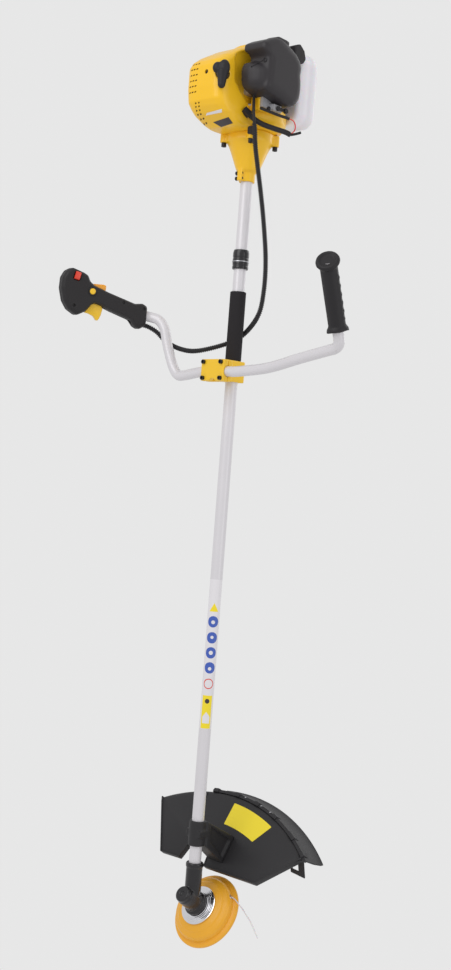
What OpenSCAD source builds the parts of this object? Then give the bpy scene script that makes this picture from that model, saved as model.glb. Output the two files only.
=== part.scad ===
// Petrol brush cutter with a bullhorn handlebar, a bump-feed line head and a guard.
// +Z runs along the shaft towards the engine, +X is the machine's left side and
// +Y its underside. The origin is the centre of the harness eyelet.
// Stations along the shaft count from a datum near the gear head.

/* [Shaft] */
// Outer diameter of the shaft tube
tube_d = 26; // [25:0.5:27]
// Wall thickness of the shaft tube
tube_wall = 1.5; // [1.2:0.1:2]
// Length of the shaft tube
tube_l = 1500; // [1490:5:1510]
// Diameter of the solid drive shaft
drive_d = 8; // [7:0.5:9]

/* [Cutting head] */
// Angle between the shaft and the head's spin axis
head_tilt = 57; // [55:1:59]
// Radius of the line head's outer rim
head_r = 80; // [76:1:84]
// Radius of the plated adapter ring
ring_r = 42; // [38:1:46]
// Teeth on the driving pinion
pinion_teeth = 14; // [12:1:16]
// Teeth on the driven bevel gear
gear_teeth = 19; // [17:1:21]
// Diameter of the trimmer line
line_d = 2.4; // [2:0.1:3]

/* [Guard] */
// Radius of the guard's rear arc
guard_r = 395; // [390:1:400]
// Depth of the guard's flared extension
skirt_h = 45; // [40:1:50]
// Thickness of the guard's plate
guard_t = 3; // [2.5:0.1:3.5]

/* [Handlebar] */
// Diameter of the handlebar tubes
bar_d = 22; // [21:0.5:22.5]
// Station of the handlebar clamp
bar_z = 1115; // [1110:1:1120]
// Height of the handlebar above the shaft axis
bar_rise = 48; // [46:1:50]
// Diameter of the foam sleeve on the shaft
foam_d = 34; // [32:0.5:36]

/* [Harness eyelet] */
// Radius of the eyelet hole
eyelet_r = 5; // [4:0.5:6]
// Distance of the eyelet from the shaft axis
eyelet_reach = 34; // [32:0.5:36]

/* [Engine] */
// Bore of the cylinder
bore_d = 44; // [42:1:45]
// Stroke of the piston
stroke = 28; // [26:1:30]
// Radius of the clutch drum
drum_r = 39; // [38:0.5:39.5]
// Thickness of the moulded covers
cover_t = 2.5; // [2:0.25:3]

/* [Hidden] */
$fn = 48;
tube_r = tube_d / 2;
drive_r = drive_d / 2;
bar_r = bar_d / 2;
line_r = line_d / 2;
run_gap = 0.05;

// Stations
gear_z = -10;
tube_z0 = 49;
tube_z1 = tube_z0 + tube_l;
collar_z = 73;
eyelet_z = 1359;
drum_z = 1599;
flange_z = 1627;
case_z = 1668;
crank_z = 1707;
starter_z = 1747;

eyelet_turn = 135;
eyelet_pos = [eyelet_reach * cos(eyelet_turn), eyelet_reach * sin(eyelet_turn), eyelet_z];

// The head's own frame: x across, y rearwards in the cutting plane, z up the spin axis
module place() { translate(-eyelet_pos) children(); }
module at_spin() { place() translate([0, 0, gear_z]) rotate([head_tilt, 0, 0]) children(); }
function spin_pt(e, n) = [cos(head_tilt) * e - sin(head_tilt) * n,
    gear_z + sin(head_tilt) * e + cos(head_tilt) * n];

// Colours
yellow = [0.97, 0.78, 0.14];
orange = [0.95, 0.66, 0.15];
black = [0.16, 0.15, 0.16];
silver = [0.87, 0.86, 0.87];
steel = [0.62, 0.62, 0.64];
alloy = [0.72, 0.72, 0.72];

// Basic shapes
module ring(r_out, r_in, h) {
    difference() {
        cylinder(r = r_out, h = h);
        translate([0, 0, -1]) cylinder(r = r_in, h = h + 2);
    }
}

module rounded_rect(x0, x1, y0, y1, r) {
    translate([x0 + r, y0]) square([x1 - x0 - 2 * r, y1 - y0]);
    translate([x0, y0 + r]) square([x1 - x0, y1 - y0 - 2 * r]);
    for (x = [x0 + r, x1 - r], y = [y0 + r, y1 - r]) translate([x, y]) circle(r);
}

// Extrudes a (Y, Z) outline along X from x0 to x1
module along_x(x0, x1) {
    translate([x0, 0, 0]) rotate([90, 0, 90]) linear_extrude(x1 - x0) children();
}

// Extrudes an (X, Z) outline along Y from y0 to y1
module along_y(y0, y1) {
    translate([0, y1, 0]) rotate([90, 0, 0]) linear_extrude(y1 - y0) children();
}

// Swept tubes: a smooth line through the route's points, with a ring at each step
function unit(v) = v / norm(v);
function blend_pt(a, b, c, d, t) = 0.5 * ((2 * b) + (c - a) * t
    + (2 * a - 5 * b + 4 * c - d) * t * t + (3 * b - a - 3 * c + d) * t * t * t);
function smooth(p, steps) = [
    for (i = [0 : len(p) - 2], s = [0 : steps - 1])
        blend_pt(p[max(i - 1, 0)], p[i], p[i + 1], p[min(i + 2, len(p) - 1)], s / steps),
    p[len(p) - 1]];
function heading(p, i) = unit(p[min(i + 1, len(p) - 1)] - p[max(i - 1, 0)]);
function ring_pts(c, t, up, r, n) = let (u = unit(cross(up, t)), w = cross(t, u))
    [for (k = [0 : n - 1]) c + r * (cos(360 * k / n) * u + sin(360 * k / n) * w)];

module sweep(p, r, n, up) {
    m = len(p);
    pts = [for (i = [0 : m - 1]) each ring_pts(p[i], heading(p, i), up, r, n)];
    sides = [for (i = [0 : m - 2], k = [0 : n - 1]) let (a = i * n + k, b = i * n + (k + 1) % n)
        each [[a, a + n, b], [b, a + n, b + n]]];
    caps = [[for (k = [0 : n - 1]) k], [for (k = [n - 1 : -1 : 0]) (m - 1) * n + k]];
    polyhedron(points = pts, faces = concat(sides, caps), convexity = 6);
}

// Cap screw: head below z = 0, shank above
screw_head_r = 4.5;
screw_r = 2.5;
module screw(l) {
    translate([0, 0, -5]) difference() {
        cylinder(r = screw_head_r, h = 5);
        translate([0, 0, -1]) cylinder(r = 2.3, h = 4, $fn = 6);
    }
    cylinder(r = screw_r, h = l);
}
module screw_hole(l) { translate([0, 0, -0.01]) cylinder(r = screw_r + run_gap, h = l); }

// ---------------------------------------------------------------- shaft

module shaft_tube() color(silver) place()
    translate([0, 0, tube_z0]) ring(tube_r, tube_r - tube_wall, tube_l);

bush_l = 30;
bush_pitch = 345;
module tube_bushes() color("ivory") place()
    for (i = [0 : 4]) translate([0, 0, tube_z0 + 45 + i * bush_pitch])
        ring(tube_r - tube_wall, drive_r + run_gap, bush_l);

drive_z0 = 22;
drive_z1 = 1596;
module drive_shaft() color(steel) place()
    translate([0, 0, drive_z0]) cylinder(r = drive_r, h = drive_z1 - drive_z0);

module foam_grip() color(black) place()
    translate([0, 0, 1143]) ring(foam_d / 2, tube_r, 147);

// ---------------------------------------------------------------- harness hanger

hanger_r = 17.2;
hanger_z = [1338, 1354, 1379];
tab_t = 3;
module harness_clamp() color(black) place() difference() {
    union() {
        translate([0, 0, hanger_z[0]]) ring(hanger_r, tube_r, hanger_z[1] - hanger_z[0] - 1);
        translate([0, 0, hanger_z[1] + 1]) ring(hanger_r, tube_r, hanger_z[2] - hanger_z[1] - 1);
    }
    rotate([0, 0, eyelet_turn]) translate([0, -tab_t / 2, hanger_z[0] - 1]) cube([30, tab_t, 50]);
}

module hanger_plate() color(steel) place() {
    translate([0, 0, hanger_z[1] - 1]) ring(hanger_r + 1, tube_r, 2);
    rotate([0, 0, eyelet_turn]) difference() {
        translate([0, -tab_t / 2, 0]) rotate([90, 0, 0]) mirror([0, 0, 1]) linear_extrude(tab_t) {
            translate([tube_r + 0.5, eyelet_z - 11]) square([eyelet_reach - tube_r, 22]);
            translate([eyelet_reach, eyelet_z]) circle(11);
        }
        translate([eyelet_reach, 5, eyelet_z]) rotate([90, 0, 0]) cylinder(r = eyelet_r, h = 10);
    }
}

// ---------------------------------------------------------------- handlebar

cap_w = 66;
cap_screw_x = 25;
cap_screw_z = 17;
bar_mid = bar_z + 2;
module cap_screw_places() {
    for (x = [-1, 1], z = [-1, 1])
        translate([x * cap_screw_x, -bar_rise - 14, bar_mid + z * cap_screw_z])
            rotate([-90, 0, 0]) children();
}
module bar_groove() {
    translate([-50, -bar_rise, bar_z]) rotate([0, 90, 0]) cylinder(r = bar_r + run_gap, h = 100);
}

module bar_cap() color(yellow) place() difference() {
    along_y(-bar_rise - 14, -bar_rise - 0.2)
        rounded_rect(-cap_w / 2, cap_w / 2, bar_mid - 23, bar_mid + 23, 6);
    bar_groove();
    cap_screw_places() screw_hole(40);
}

module bar_bracket() color(yellow) place() difference() {
    union() {
        along_y(-bar_rise + 0.2, -bar_rise + 14)
            rounded_rect(-cap_w / 2, cap_w / 2, bar_mid - 23, bar_mid + 23, 6);
        along_y(-bar_rise + 10, 19) rounded_rect(-19, 19, 1097, 1142, 5);
    }
    bar_groove();
    translate([0, 0, 1090]) cylinder(r = tube_r, h = 60);
    cap_screw_places() screw_hole(40);
}

left_route = [[2, -48, 1115], [20, -48, 1115], [38, -48, 1115], [60, -48, 1115], [145, -50, 1122], [238, -62, 1139],
    [315, -76, 1151], [340, -81, 1155], [352, -86, 1164], [356, -97, 1187], [367, -155, 1306]];
right_route = [[-2, -48, 1115], [-20, -48, 1115], [-38, -48, 1115], [-62, -48, 1112], [-95, -48, 1107], [-115, -48, 1108],
    [-132, -49, 1128], [-148, -53, 1170], [-158, -57, 1208], [-172, -63, 1226],
    [-190, -72, 1232], [-202, -89, 1235], [-217, -124, 1243], [-231, -159, 1252]];
module handlebar_tubes() color(silver) place() {
    sweep(smooth(left_route, 3), bar_r, 20, [0, 1, 0.3]);
    sweep(smooth(right_route, 3), bar_r, 20, [0.6, 0, 1]);
}

// Grip axis: from the tube's last bend to its end
grip_end = left_route[len(left_route) - 1];
grip_dir = unit(grip_end - left_route[len(left_route) - 2]);
grip_polar = acos(grip_dir[2]);
grip_azimuth = atan2(grip_dir[1], grip_dir[0]);
module at_grip() {
    translate(grip_end) rotate([0, grip_polar, grip_azimuth]) children();
}
module left_grip() color(black) place() at_grip() difference() {
    union() {
        translate([0, 0, -128]) cylinder(r = 17, h = 136);
        translate([0, 0, -3]) cylinder(r1 = 17, r2 = 24, h = 6);
        translate([0, 0, 3]) cylinder(r = 24, h = 7);
        translate([0, 0, -136]) cylinder(r = 22, h = 9);
    }
    translate([0, 0, -140]) cylinder(r = bar_r + 0.5, h = 141);
}

// ---------------------------------------------------------------- control handle

// Handle frame: x up the grip, y towards the trigger, z out of the near face
handle_pos = [-197, -79, 1237];
handle_turn = [-95.4, -12.2, -112.8];
module at_handle() { place() translate(handle_pos) rotate(handle_turn) children(); }

shell_t = 19;
head_edge = [[34, 25], [80, 21.6], [98, 19.3], [110, 17], [125, 19], [134, 39.5], [152, 55],
    [173, 48.5], [188, 34.7], [201, 10], [205.5, -13], [201.5, -28.7], [190, -39.7],
    [162, -37.6], [152, -35], [144, -25], [133, -19.7], [97, -16], [33, -12.6], [17.5, -18.8],
    [5, -15.8], [-4, 24.4], [9.5, 38.2], [21, 35]];
trigger_pivot = [131, 22];
lockout_pivot = [134, -13];
button_pos = [135.4, -5];
switch_pos = [176.8, -25.6];
trigger_w = 14;
slot_w = trigger_w + 1;

module handle_cavity() {
    translate([-20, 4, 0]) rotate([0, 90, 0]) cylinder(r = bar_r + 1, h = 118);
    translate([93, 2, -slot_w / 2]) cube([48, 60, slot_w]);
    translate([98, -36, -6.5]) cube([43, 30, 13]);
    translate([-30, 24, 0]) rotate([0, 90, 0]) cylinder(r = 6, h = 70);
    translate([button_pos[0], button_pos[1], 6.6]) cylinder(r = 6.8, h = 30);
    translate([switch_pos[0] - 7, switch_pos[1] - 9.5, 8]) cube([14, 19, 30]);
    for (p = handle_screw_places) translate([p[0], p[1], -40]) cylinder(r = 2.05, h = 80);
}
handle_screw_places = [[14, -11.2], [165, 38], [60, -11.2]];

module handle_half(z0, z1) {
    difference() {
        translate([0, 0, z0]) linear_extrude(z1 - z0) polygon(head_edge);
        handle_cavity();
    }
}
module handle_shell_left() color(black) at_handle() handle_half(0.02, shell_t);
module handle_shell_right() color(black) at_handle() handle_half(-shell_t, -0.02);

module throttle_trigger() color(yellow) at_handle() difference() {
    translate([0, 0, -trigger_w / 2]) linear_extrude(trigger_w)
        polygon([[136, 18], [128, 15], [104, 16], [99, 22], [98.5, 36], [102, 49.4],
            [108, 47], [117, 42], [126, 41], [134, 42], [137, 30]]);
    translate([trigger_pivot[0], trigger_pivot[1], -20]) cylinder(r = 2, h = 40);
}

module throttle_lockout() color(orange) at_handle() difference() {
    translate([0, 0, -5.5]) linear_extrude(11)
        polygon([[138, -9], [130, -9], [112, -12], [104, -18], [106, -28], [112, -28.5],
            [133, -23], [139, -17]]);
    translate([lockout_pivot[0], lockout_pivot[1], -20]) cylinder(r = 2, h = 40);
}

module lock_button() color(yellow) at_handle()
    translate([button_pos[0], button_pos[1], 11]) cylinder(r = 6.5, h = 12);

module stop_switch() color("red") at_handle() translate([switch_pos[0], switch_pos[1], shell_t])
    rotate([0, 90, 0]) intersection() {
        translate([0, 0, -6]) cylinder(r = 8.5, h = 12);
        translate([-4, -8.5, -6]) cube([12, 17, 12]);
    }

// ---------------------------------------------------------------- throttle cable

cable_route = [[64, -66, 1686.4], [65, -67, 1676], [73, -73, 1645], [73, -66, 1612],
    [67, -52, 1575], [60, -20, 1497], [60, -3, 1434], [62, 10, 1358], [60, 14, 1293],
    [46, 18, 1242], [2, 26, 1204], [-29, 12, 1183], [-84, -18, 1164], [-124, -30, 1165],
    [-164, -40, 1180], [-184, -54, 1201], [-196, -70, 1211], [-202, -85, 1214]];
module throttle_cable() color(black) place() sweep(smooth(cable_route, 3), 5, 10, [0.3, 1, 0.1]);

// ---------------------------------------------------------------- clutch

ear_reach = 54.5;
ear_z = 1604;
module ear_places() {
    for (a = [45 : 90 : 315]) rotate([0, 0, a]) translate([ear_reach, 0, 0]) children();
}

collar_screws = [1529, 1540];
module clutch_housing() color(yellow) place() difference() {
    union() {
        rotate_extrude() polygon([[0, 1523], [17, 1523], [17, 1543], [22, 1546],
            [24, 1548], [27, 1555], [33, 1571], [39.5, 1588], [45, 1600], [49.5, 1606], [50, 1608],
            [50, 1627], [0, 1627]]);
        ear_places() translate([0, 0, ear_z]) cylinder(r = 8, h = flange_z - ear_z);
        translate([-7, -25, 1523]) cube([14, 12, 26]);
    }
    rotate_extrude() polygon([[0, 1500], [tube_r, 1500], [tube_r, tube_z1], [9, tube_z1],
        [9, 1551], [17.5, 1551], [17.5, 1562], [20, 1565], [25, 1574], [35, 1592],
        [44, 1608], [44, 1640], [0, 1640]]);
    ear_places() translate([0, 0, ear_z]) screw_hole(30);
    for (z = collar_screws) translate([-7, -20.5, z]) rotate([0, 90, 0]) screw_hole(20);
    translate([-0.75, -30, 1520]) cube([1.5, 20, 27]);
}

module clutch_drum() color(steel) place() difference() {
    rotate_extrude() polygon([[drive_r, 1552], [7.45, 1552], [7.45, 1592], [12, drum_z],
        [drum_r - 4, drum_z], [drum_r, drum_z + 3], [drum_r, drum_z + 24],
        [drum_r - 2.5, drum_z + 24], [drum_r - 2.5, drum_z + 3], [drive_r, drum_z + 3]]);
}

shoe_r = 35;
module clutch_shoes() color("dimgray") place() {
    for (a = [0, 180]) rotate([0, 0, a]) difference() {
        translate([0, 0, drum_z + 6]) intersection() {
            ring(shoe_r, 13, 14);
            translate([2.5, -40, 0]) cube([40, 80, 14]);
        }
        translate([22, 0, 1600]) cylinder(r = 4, h = 40);
    }
    for (a = [0, 180]) rotate([0, 0, a]) translate([22, 0, drum_z + 6]) cylinder(r = 4, h = 28);
}

// ---------------------------------------------------------------- engine core

fan_r = 58;
fan_z0 = 1633;
module flywheel() color(alloy) place() difference() {
    union() {
        translate([0, 0, fan_z0]) cylinder(r = fan_r, h = 6);
        translate([0, 0, fan_z0]) cylinder(r = 16, h = 34);
        for (i = [0 : 13]) rotate([0, 0, i * 360 / 14])
            translate([24, -1.2, fan_z0 + 5]) cube([fan_r - 26, 2.4, 19]);
    }
    translate([0, 0, 1620]) cylinder(r = 7.5, h = 60);
}

housing_r = 74;
module fan_housing() color(yellow) place() difference() {
    translate([0, 0, flange_z]) cylinder(r = housing_r, h = case_z - flange_z);
    translate([0, 0, flange_z - 1]) cylinder(r = 45, h = 10);
    translate([0, 0, flange_z + 4]) cylinder(r = housing_r - 4, h = 50);
    ear_places() translate([0, 0, flange_z]) screw_hole(10);
}

case_w = 40;
deck_y = -36;
web_r = 27;
module crankcase() color(alloy) place() difference() {
    union() {
        translate([0, 0, case_z]) cylinder(r = housing_r - 2, h = 3.5);
        along_y(deck_y, 40) rounded_rect(-case_w, case_w, case_z + 3, 1746, 4);
    }
    translate([0, 0, 1660]) cylinder(r = 9, h = 100);
    translate([0, 0, 1674]) cylinder(r = 17.5, h = 12);
    translate([0, 0, 1686]) cylinder(r = 30, h = 42);
    translate([0, 0, 1728]) cylinder(r = 17.5, h = 12);
    translate([0, 0, crank_z]) rotate([90, 0, 0]) cylinder(r = 20, h = 60);
}

pin_y = -stroke / 2;
module crankshaft() color(steel) place() {
    translate([0, 0, fan_z0 + 2]) cylinder(r = 7.5, h = 1688 - fan_z0 - 2);
    translate([0, 0, 1688]) cylinder(r = web_r, h = 11);
    translate([0, pin_y, 1699]) cylinder(r = 6, h = 16);
    translate([0, 0, 1715]) cylinder(r = web_r, h = 11);
    translate([0, 0, 1726]) cylinder(r = 7.5, h = 32);
}

rod_l = 56;
wrist_y = pin_y - rod_l;
module connecting_rod() color(steel) place() difference() {
    union() {
        translate([0, pin_y, crank_z - 4.5]) cylinder(r = 10.5, h = 9);
        translate([0, wrist_y, crank_z - 4.5]) cylinder(r = 8, h = 9);
        translate([-4, wrist_y, crank_z - 3]) cube([8, rod_l, 6]);
    }
    translate([0, pin_y, crank_z - 10]) cylinder(r = 6 + run_gap, h = 20);
    translate([0, wrist_y, crank_z - 10]) cylinder(r = 5 + run_gap, h = 20);
}

crown_y = wrist_y - 17;
module piston() color(alloy) place() {
    difference() {
        translate([0, crown_y + 31, crank_z]) rotate([90, 0, 0])
            cylinder(r = bore_d / 2 - run_gap, h = 31);
        translate([0, crown_y + 32, crank_z]) rotate([90, 0, 0]) cylinder(r = 18, h = 27);
    }
    translate([0, wrist_y, crank_z - 18.2]) cylinder(r = 5, h = 36.4);
}

fin_w = 42;
module cylinder_barrel() color("gray") place() difference() {
    union() {
        translate([0, deck_y, crank_z]) rotate([90, 0, 0]) cylinder(r = 27, h = 66);
        for (i = [0 : 6]) along_y(-104 + i * 8, -101.8 + i * 8)
            rounded_rect(-fin_w, fin_w - 4, crank_z - 33, crank_z + 38, 8);
    }
    translate([0, deck_y + 1, crank_z]) rotate([90, 0, 0]) cylinder(r = bore_d / 2, h = 57);
    at_plug() translate([0, 0, -30]) cylinder(r = 7, h = 60);
    at_plug() translate([0, 0, 21.8]) cylinder(r = 10.5, h = 30);
    translate([-60, deck_y - 33, crank_z]) rotate([0, 90, 0]) cylinder(r = 9, h = 40);
    translate([20, deck_y - 20, crank_z]) rotate([0, 90, 0]) cylinder(r = 8, h = 40);
}

// Spark plug frame: z out of the cylinder head, leaning to the machine's left
plug_lean = 38;
module at_plug() {
    translate([0, -88, crank_z]) rotate([90, 0, 0]) rotate([0, plug_lean, 0]) children();
}
module spark_plug() color("white") place() at_plug() {
    translate([0, 0, 8]) cylinder(r = 7, h = 14);
    translate([0, 0, 22]) cylinder(r = 9, h = 7, $fn = 6);
    translate([0, 0, 29]) cylinder(r = 4.5, h = 31);
}

module plug_boot() color(black) place() at_plug() {
    rotate_extrude() polygon([[4.5, 36], [12, 36], [12, 66], [15, 69], [15, 79], [11, 86],
        [0, 87], [0, 60], [4.5, 60]]);
    translate([0, -10, 77]) rotate([90, 0, 0]) cylinder(r1 = 8, r2 = 6, h = 26);
}

module ignition_coil() color("darkslategray") place() {
    translate([-20, -66.5, 1636]) cube([40, 4, 16]);
    translate([-11, -62.5, 1638]) cube([22, 3.5, 12]);
}

module muffler() color("silver") place() difference() {
    union() {
        along_x(-96, -50) rounded_rect(-92, -42, 1676, 1756, 12);
        translate([-51, deck_y - 33, crank_z]) rotate([0, 90, 0]) cylinder(r = 12, h = 8.9);
        translate([-84, -58, 1672]) cylinder(r = 6, h = 5);
    }
    along_x(-94.5, -51.5) rounded_rect(-90.5, -43.5, 1677.5, 1754.5, 10.5);
    translate([-60, deck_y - 33, crank_z]) rotate([0, 90, 0]) cylinder(r = 9, h = 20);
    translate([-84, -58, 1671]) cylinder(r = 4.5, h = 10);
}

// ---------------------------------------------------------------- intake

carb_y = deck_y - 20;
pump_y = [-36, -12];
pump_z = 1657;
module carburettor() color(alloy) place() difference() {
    union() {
        along_x(38.2, 48) rounded_rect(carb_y - 16, carb_y + 16, crank_z - 20, crank_z + 20, 4);
        along_x(48, 82) rounded_rect(carb_y - 19, carb_y + 19, crank_z - 20, crank_z + 20, 4);
        translate([75.5, pump_y[0], pump_z]) cube([18.5, pump_y[1] - pump_y[0], 13]);
        translate([75.5, -58, pump_z + 4]) cube([6.5, 28, 26]);
    }
    translate([30, carb_y, crank_z]) rotate([0, 90, 0]) cylinder(r = 8, h = 60);
    translate(primer_pos) rotate([90, 0, 0]) cylinder(r = 5.8, h = 5);
}

primer_pos = [85, pump_y[1], pump_z + 6.7];
module primer_bulb() color([0.8, 0.25, 0.2]) place() translate(primer_pos) rotate([-90, 0, 0])
    rotate_extrude() polygon([[0, 0.2], [5.5, 0.2], [5.5, 3], [4.8, 6.5], [3, 8.5], [0, 9]]);

choke_pos = [94, -24, pump_z + 6];
choke_arm = 22;
module choke_lever() color(black) place() translate(choke_pos) rotate([90, 0, 90]) {
    translate([0, 0, 0.2]) cylinder(r = 5, h = 3.5);
    translate([0, -3, 0.2]) cube([choke_arm, 6, 3.5]);
    translate([choke_arm, 0, 0.2]) cylinder(r = 5, h = 6);
}

filter_y = [-99, 25];
filter_z = [1672, 1801];
module filter_base() color("dimgray") place() difference() {
    along_x(82, 87) rounded_rect(filter_y[0] + 20, filter_y[1] - 12, filter_z[0] + 20, filter_z[1] - 29, 10);
    translate([70, carb_y, crank_z]) rotate([0, 90, 0]) cylinder(r = 8, h = 40);
}

module filter_foam() color("darkslateblue") place()
    along_x(87.2, 101) rounded_rect(filter_y[0] + 24, filter_y[1] - 16, filter_z[0] + 24, filter_z[1] - 33, 8);

module filter_cover() color(black) place() difference() {
    union() {
        along_x(56, 118) rounded_rect(filter_y[0], filter_y[1], filter_z[0], filter_z[1], 22);
        along_x(56, 72) rounded_rect(-14, 25, filter_z[1] - 20, filter_z[1] + 12, 5);
    }
    along_x(50, 118 - cover_t) rounded_rect(filter_y[0] + cover_t, filter_y[1] - cover_t,
        filter_z[0] + cover_t, filter_z[1] - cover_t, 22 - cover_t);
    translate([50, -77, filter_z[0] - 1]) cube([33, 56, 8]);
}

// ---------------------------------------------------------------- covers, tank and starter

module shroud_form(inset) {
    intersection() {
        translate([0, 0, 1600]) linear_extrude(240)
            rounded_rect(-56 + inset, 48 - inset, -153 + inset, 30, 27 - inset);
        along_x(-60, 60) polygon([[-156, 1672 + inset], [-131, 1641 + inset], [-95, 1621 + inset],
            [-60, 1621 + inset], [10, 1669 + inset], [10, 1745 - inset], [-44, 1800 - inset],
            [-55, 1800 - inset], [-80, 1790 - inset], [-103, 1776 - inset], [-127, 1763 - inset],
            [-147, 1744 - inset], [-156, 1732 - inset]]);
    }
}
module cylinder_shroud() color(yellow) place() difference() {
    shroud_form(0);
    shroud_form(cover_t);
    translate([0, 0, 1600]) cylinder(r = housing_r + 0.2, h = case_z + 6 - 1600);
    translate([-60, -44, 1600]) cube([120, 100, 220]);
    translate([0, 0, starter_z - 0.5]) cylinder(r = starter_r + 0.3, h = 100);
    translate([30, carb_y - 20, crank_z - 21]) cube([30, 40, 42]);
    translate([-60, -94, 1674]) cube([20, 54, 84]);
    at_plug() cylinder(r = 15.5, h = 90);
    for (i = [0 : 5]) translate([-60, -160, 1690 + i * 10]) cube([33, 30, 4]);
}

tank_x = 78;
tank_y = [56, 122];
module tank_form(inset) {
    along_y(tank_y[0] + inset, tank_y[1] - inset)
        rounded_rect(-tank_x + inset, tank_x - inset, 1655 + inset, 1814 - inset, 24 - inset);
}
cap_pos = [-tank_x - 4, 92, 1752];
module fuel_tank() color([0.93, 0.93, 0.9]) place() {
    difference() {
        union() {
            tank_form(0);
            translate([-tank_x - 4, cap_pos[1], cap_pos[2]]) rotate([0, 90, 0]) cylinder(r = 13, h = 8);
        }
        tank_form(cover_t);
        translate([-tank_x - 6, cap_pos[1], cap_pos[2]]) rotate([0, 90, 0]) cylinder(r = 10, h = 20);
        translate([0, 0, 1600]) cylinder(r = housing_r + 0.5, h = case_z + 6 - 1600);
    }
    difference() {
        intersection() {
            tank_form(cover_t);
            translate([0, 0, 1600]) cylinder(r = housing_r + 3.2, h = case_z + 8.6 - 1600);
        }
        translate([0, 0, 1600]) cylinder(r = housing_r + 0.5, h = case_z + 6 - 1600);
    }
}

module fuel_cap() color(black) place() translate(cap_pos) rotate([0, -90, 0]) {
    translate([0, 0, 0.2]) cylinder(r = 17, h = 11);
    translate([0, 0, -9]) cylinder(r = 10 - run_gap, h = 9.2);
}

starter_r = 55;
reel_z = 1770;
rope_y = 43;
module starter_housing() color(yellow) place() difference() {
    union() {
        translate([0, 0, starter_z]) cylinder(r = starter_r, h = 50);
        translate([0, 0, starter_z + 50]) cylinder(r1 = starter_r, r2 = starter_r - 10, h = 8);
        translate([20, rope_y - 9, reel_z - 9]) cube([46, 18, 18]);
    }
    difference() {
        translate([0, 0, starter_z - 1]) cylinder(r = starter_r - 3, h = 48);
        translate([0, 0, reel_z - 12]) cylinder(r = 4.5, h = 60);
    }
    translate([10, rope_y, reel_z]) rotate([0, 90, 0]) cylinder(r = 2.6, h = 80);
}

reel_r = 40.3;
module starter_reel() color("dimgray") place() difference() {
    union() {
        translate([0, 0, reel_z - 8]) cylinder(r = reel_r + 8, h = 3);
        translate([0, 0, reel_z - 5]) cylinder(r = reel_r, h = 10);
        translate([0, 0, reel_z + 5]) cylinder(r = reel_r + 8, h = 3);
    }
    translate([0, 0, reel_z - 20]) cylinder(r = 4.6, h = 60);
}

module starter_handle() color(black) place() {
    translate([-24, rope_y, reel_z]) rotate([0, 90, 0]) cylinder(r = 2, h = 94);
    along_x(70, 90) rounded_rect(rope_y - 10, rope_y + 10, reel_z - 4, reel_z + 43, 9);
}

loom_route = [[54, -73, 1650], [58, -62, 1641], [68, -43, 1631], [80, -14, 1626], [90, 10, 1623],
    [96, 20, 1619]];
lead_route = [[82, -64, 1656], [98, -32, 1649], [110, -4, 1645]];
wire_route = [[110, -3.5, 1645], [114, 6, 1642], [113, 14, 1634], [107, 19, 1626], [96, 18.5, 1620]];
module wire_loom() color(black) place() {
    sweep(smooth(loom_route, 3), 5, 10, [0, 0, 1]);
    sweep(smooth(lead_route, 2), 3, 8, [0, 0, 1]);
    sweep(smooth(wire_route, 3), 1.6, 8, [1, -1, 0]);
}

// ---------------------------------------------------------------- guard

guard_n = -17;
arc_c = [-40, -145];
arc_from = 50.4;
arc_to = 119.4;
module guard() color(black) at_spin() {
    difference() {
        translate([0, 0, guard_n]) linear_extrude(guard_t) intersection() {
            translate(arc_c) circle(guard_r, $fn = 180);
            polygon([[122, 79], [220, 168], [220, 260], [-260, 260], [-234, 200], [-160, 80],
                [-103, 81], [-93, 115], [-30, 115], [-26, 79]]);
        }
        for (x = [-14, 14], y = [112, 146]) translate([x, y, guard_n - 5]) cylinder(r = screw_r + run_gap, h = 20);
    }
    translate([arc_c[0], arc_c[1], 0]) rotate([0, 0, arc_from]) rotate_extrude(angle = arc_to - arc_from, $fn = 180)
        polygon([[guard_r - 5, guard_n + 1], [guard_r - 2, guard_n - 12], [guard_r, guard_n - 12],
            [guard_r - 2, guard_n + 1]]);
}

skirt_flare = 17;
module guard_extension() color(black) at_spin()
    translate([arc_c[0], arc_c[1], 0]) rotate([0, 0, 49.5]) rotate_extrude(angle = 49, $fn = 180)
        polygon([[guard_r + 1.3, guard_n - 1], [guard_r + 3.8, guard_n - 1],
            [guard_r + 3 + skirt_flare, guard_n - skirt_h], [guard_r + skirt_flare, guard_n - skirt_h]]);

bracket_z = [109, 162];
bracket_w = 20;
module guard_bracket() color(black) place() difference() {
    union() {
        translate([0, 0, bracket_z[0]]) cylinder(r = 18, h = bracket_z[1] - bracket_z[0]);
        along_x(-bracket_w, bracket_w) polygon([[10, bracket_z[0]], [10, bracket_z[1]],
            spin_pt(160, guard_n + guard_t + 4), spin_pt(160, guard_n + guard_t),
            spin_pt(98, guard_n + guard_t), spin_pt(98, guard_n + guard_t + 4)]);
    }
    translate([0, 0, 90]) cylinder(r = tube_r, h = 90);
    along_x(-bracket_w + 4, bracket_w - 4) polygon([[22, 118], [22, 150], spin_pt(148, guard_n + 12),
        spin_pt(108, guard_n + 12)]);
}

module line_knife() color(steel) at_spin() {
    translate([186, 128, -64]) cube([2, 44, 14]);
    translate([186, 128, -64]) cube([16, 2, 14]);
}

// ---------------------------------------------------------------- gear head

shaft_angle = head_tilt;
tooth_ratio = gear_teeth / pinion_teeth;
pinion_cone = atan2(sin(shaft_angle), tooth_ratio + cos(shaft_angle));
gear_cone = shaft_angle - pinion_cone;
cone_out = 24;
cone_in = 15.5;
tooth_up = 1.1;
tooth_down = 1.5;
tooth_share = 0.36;

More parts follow.
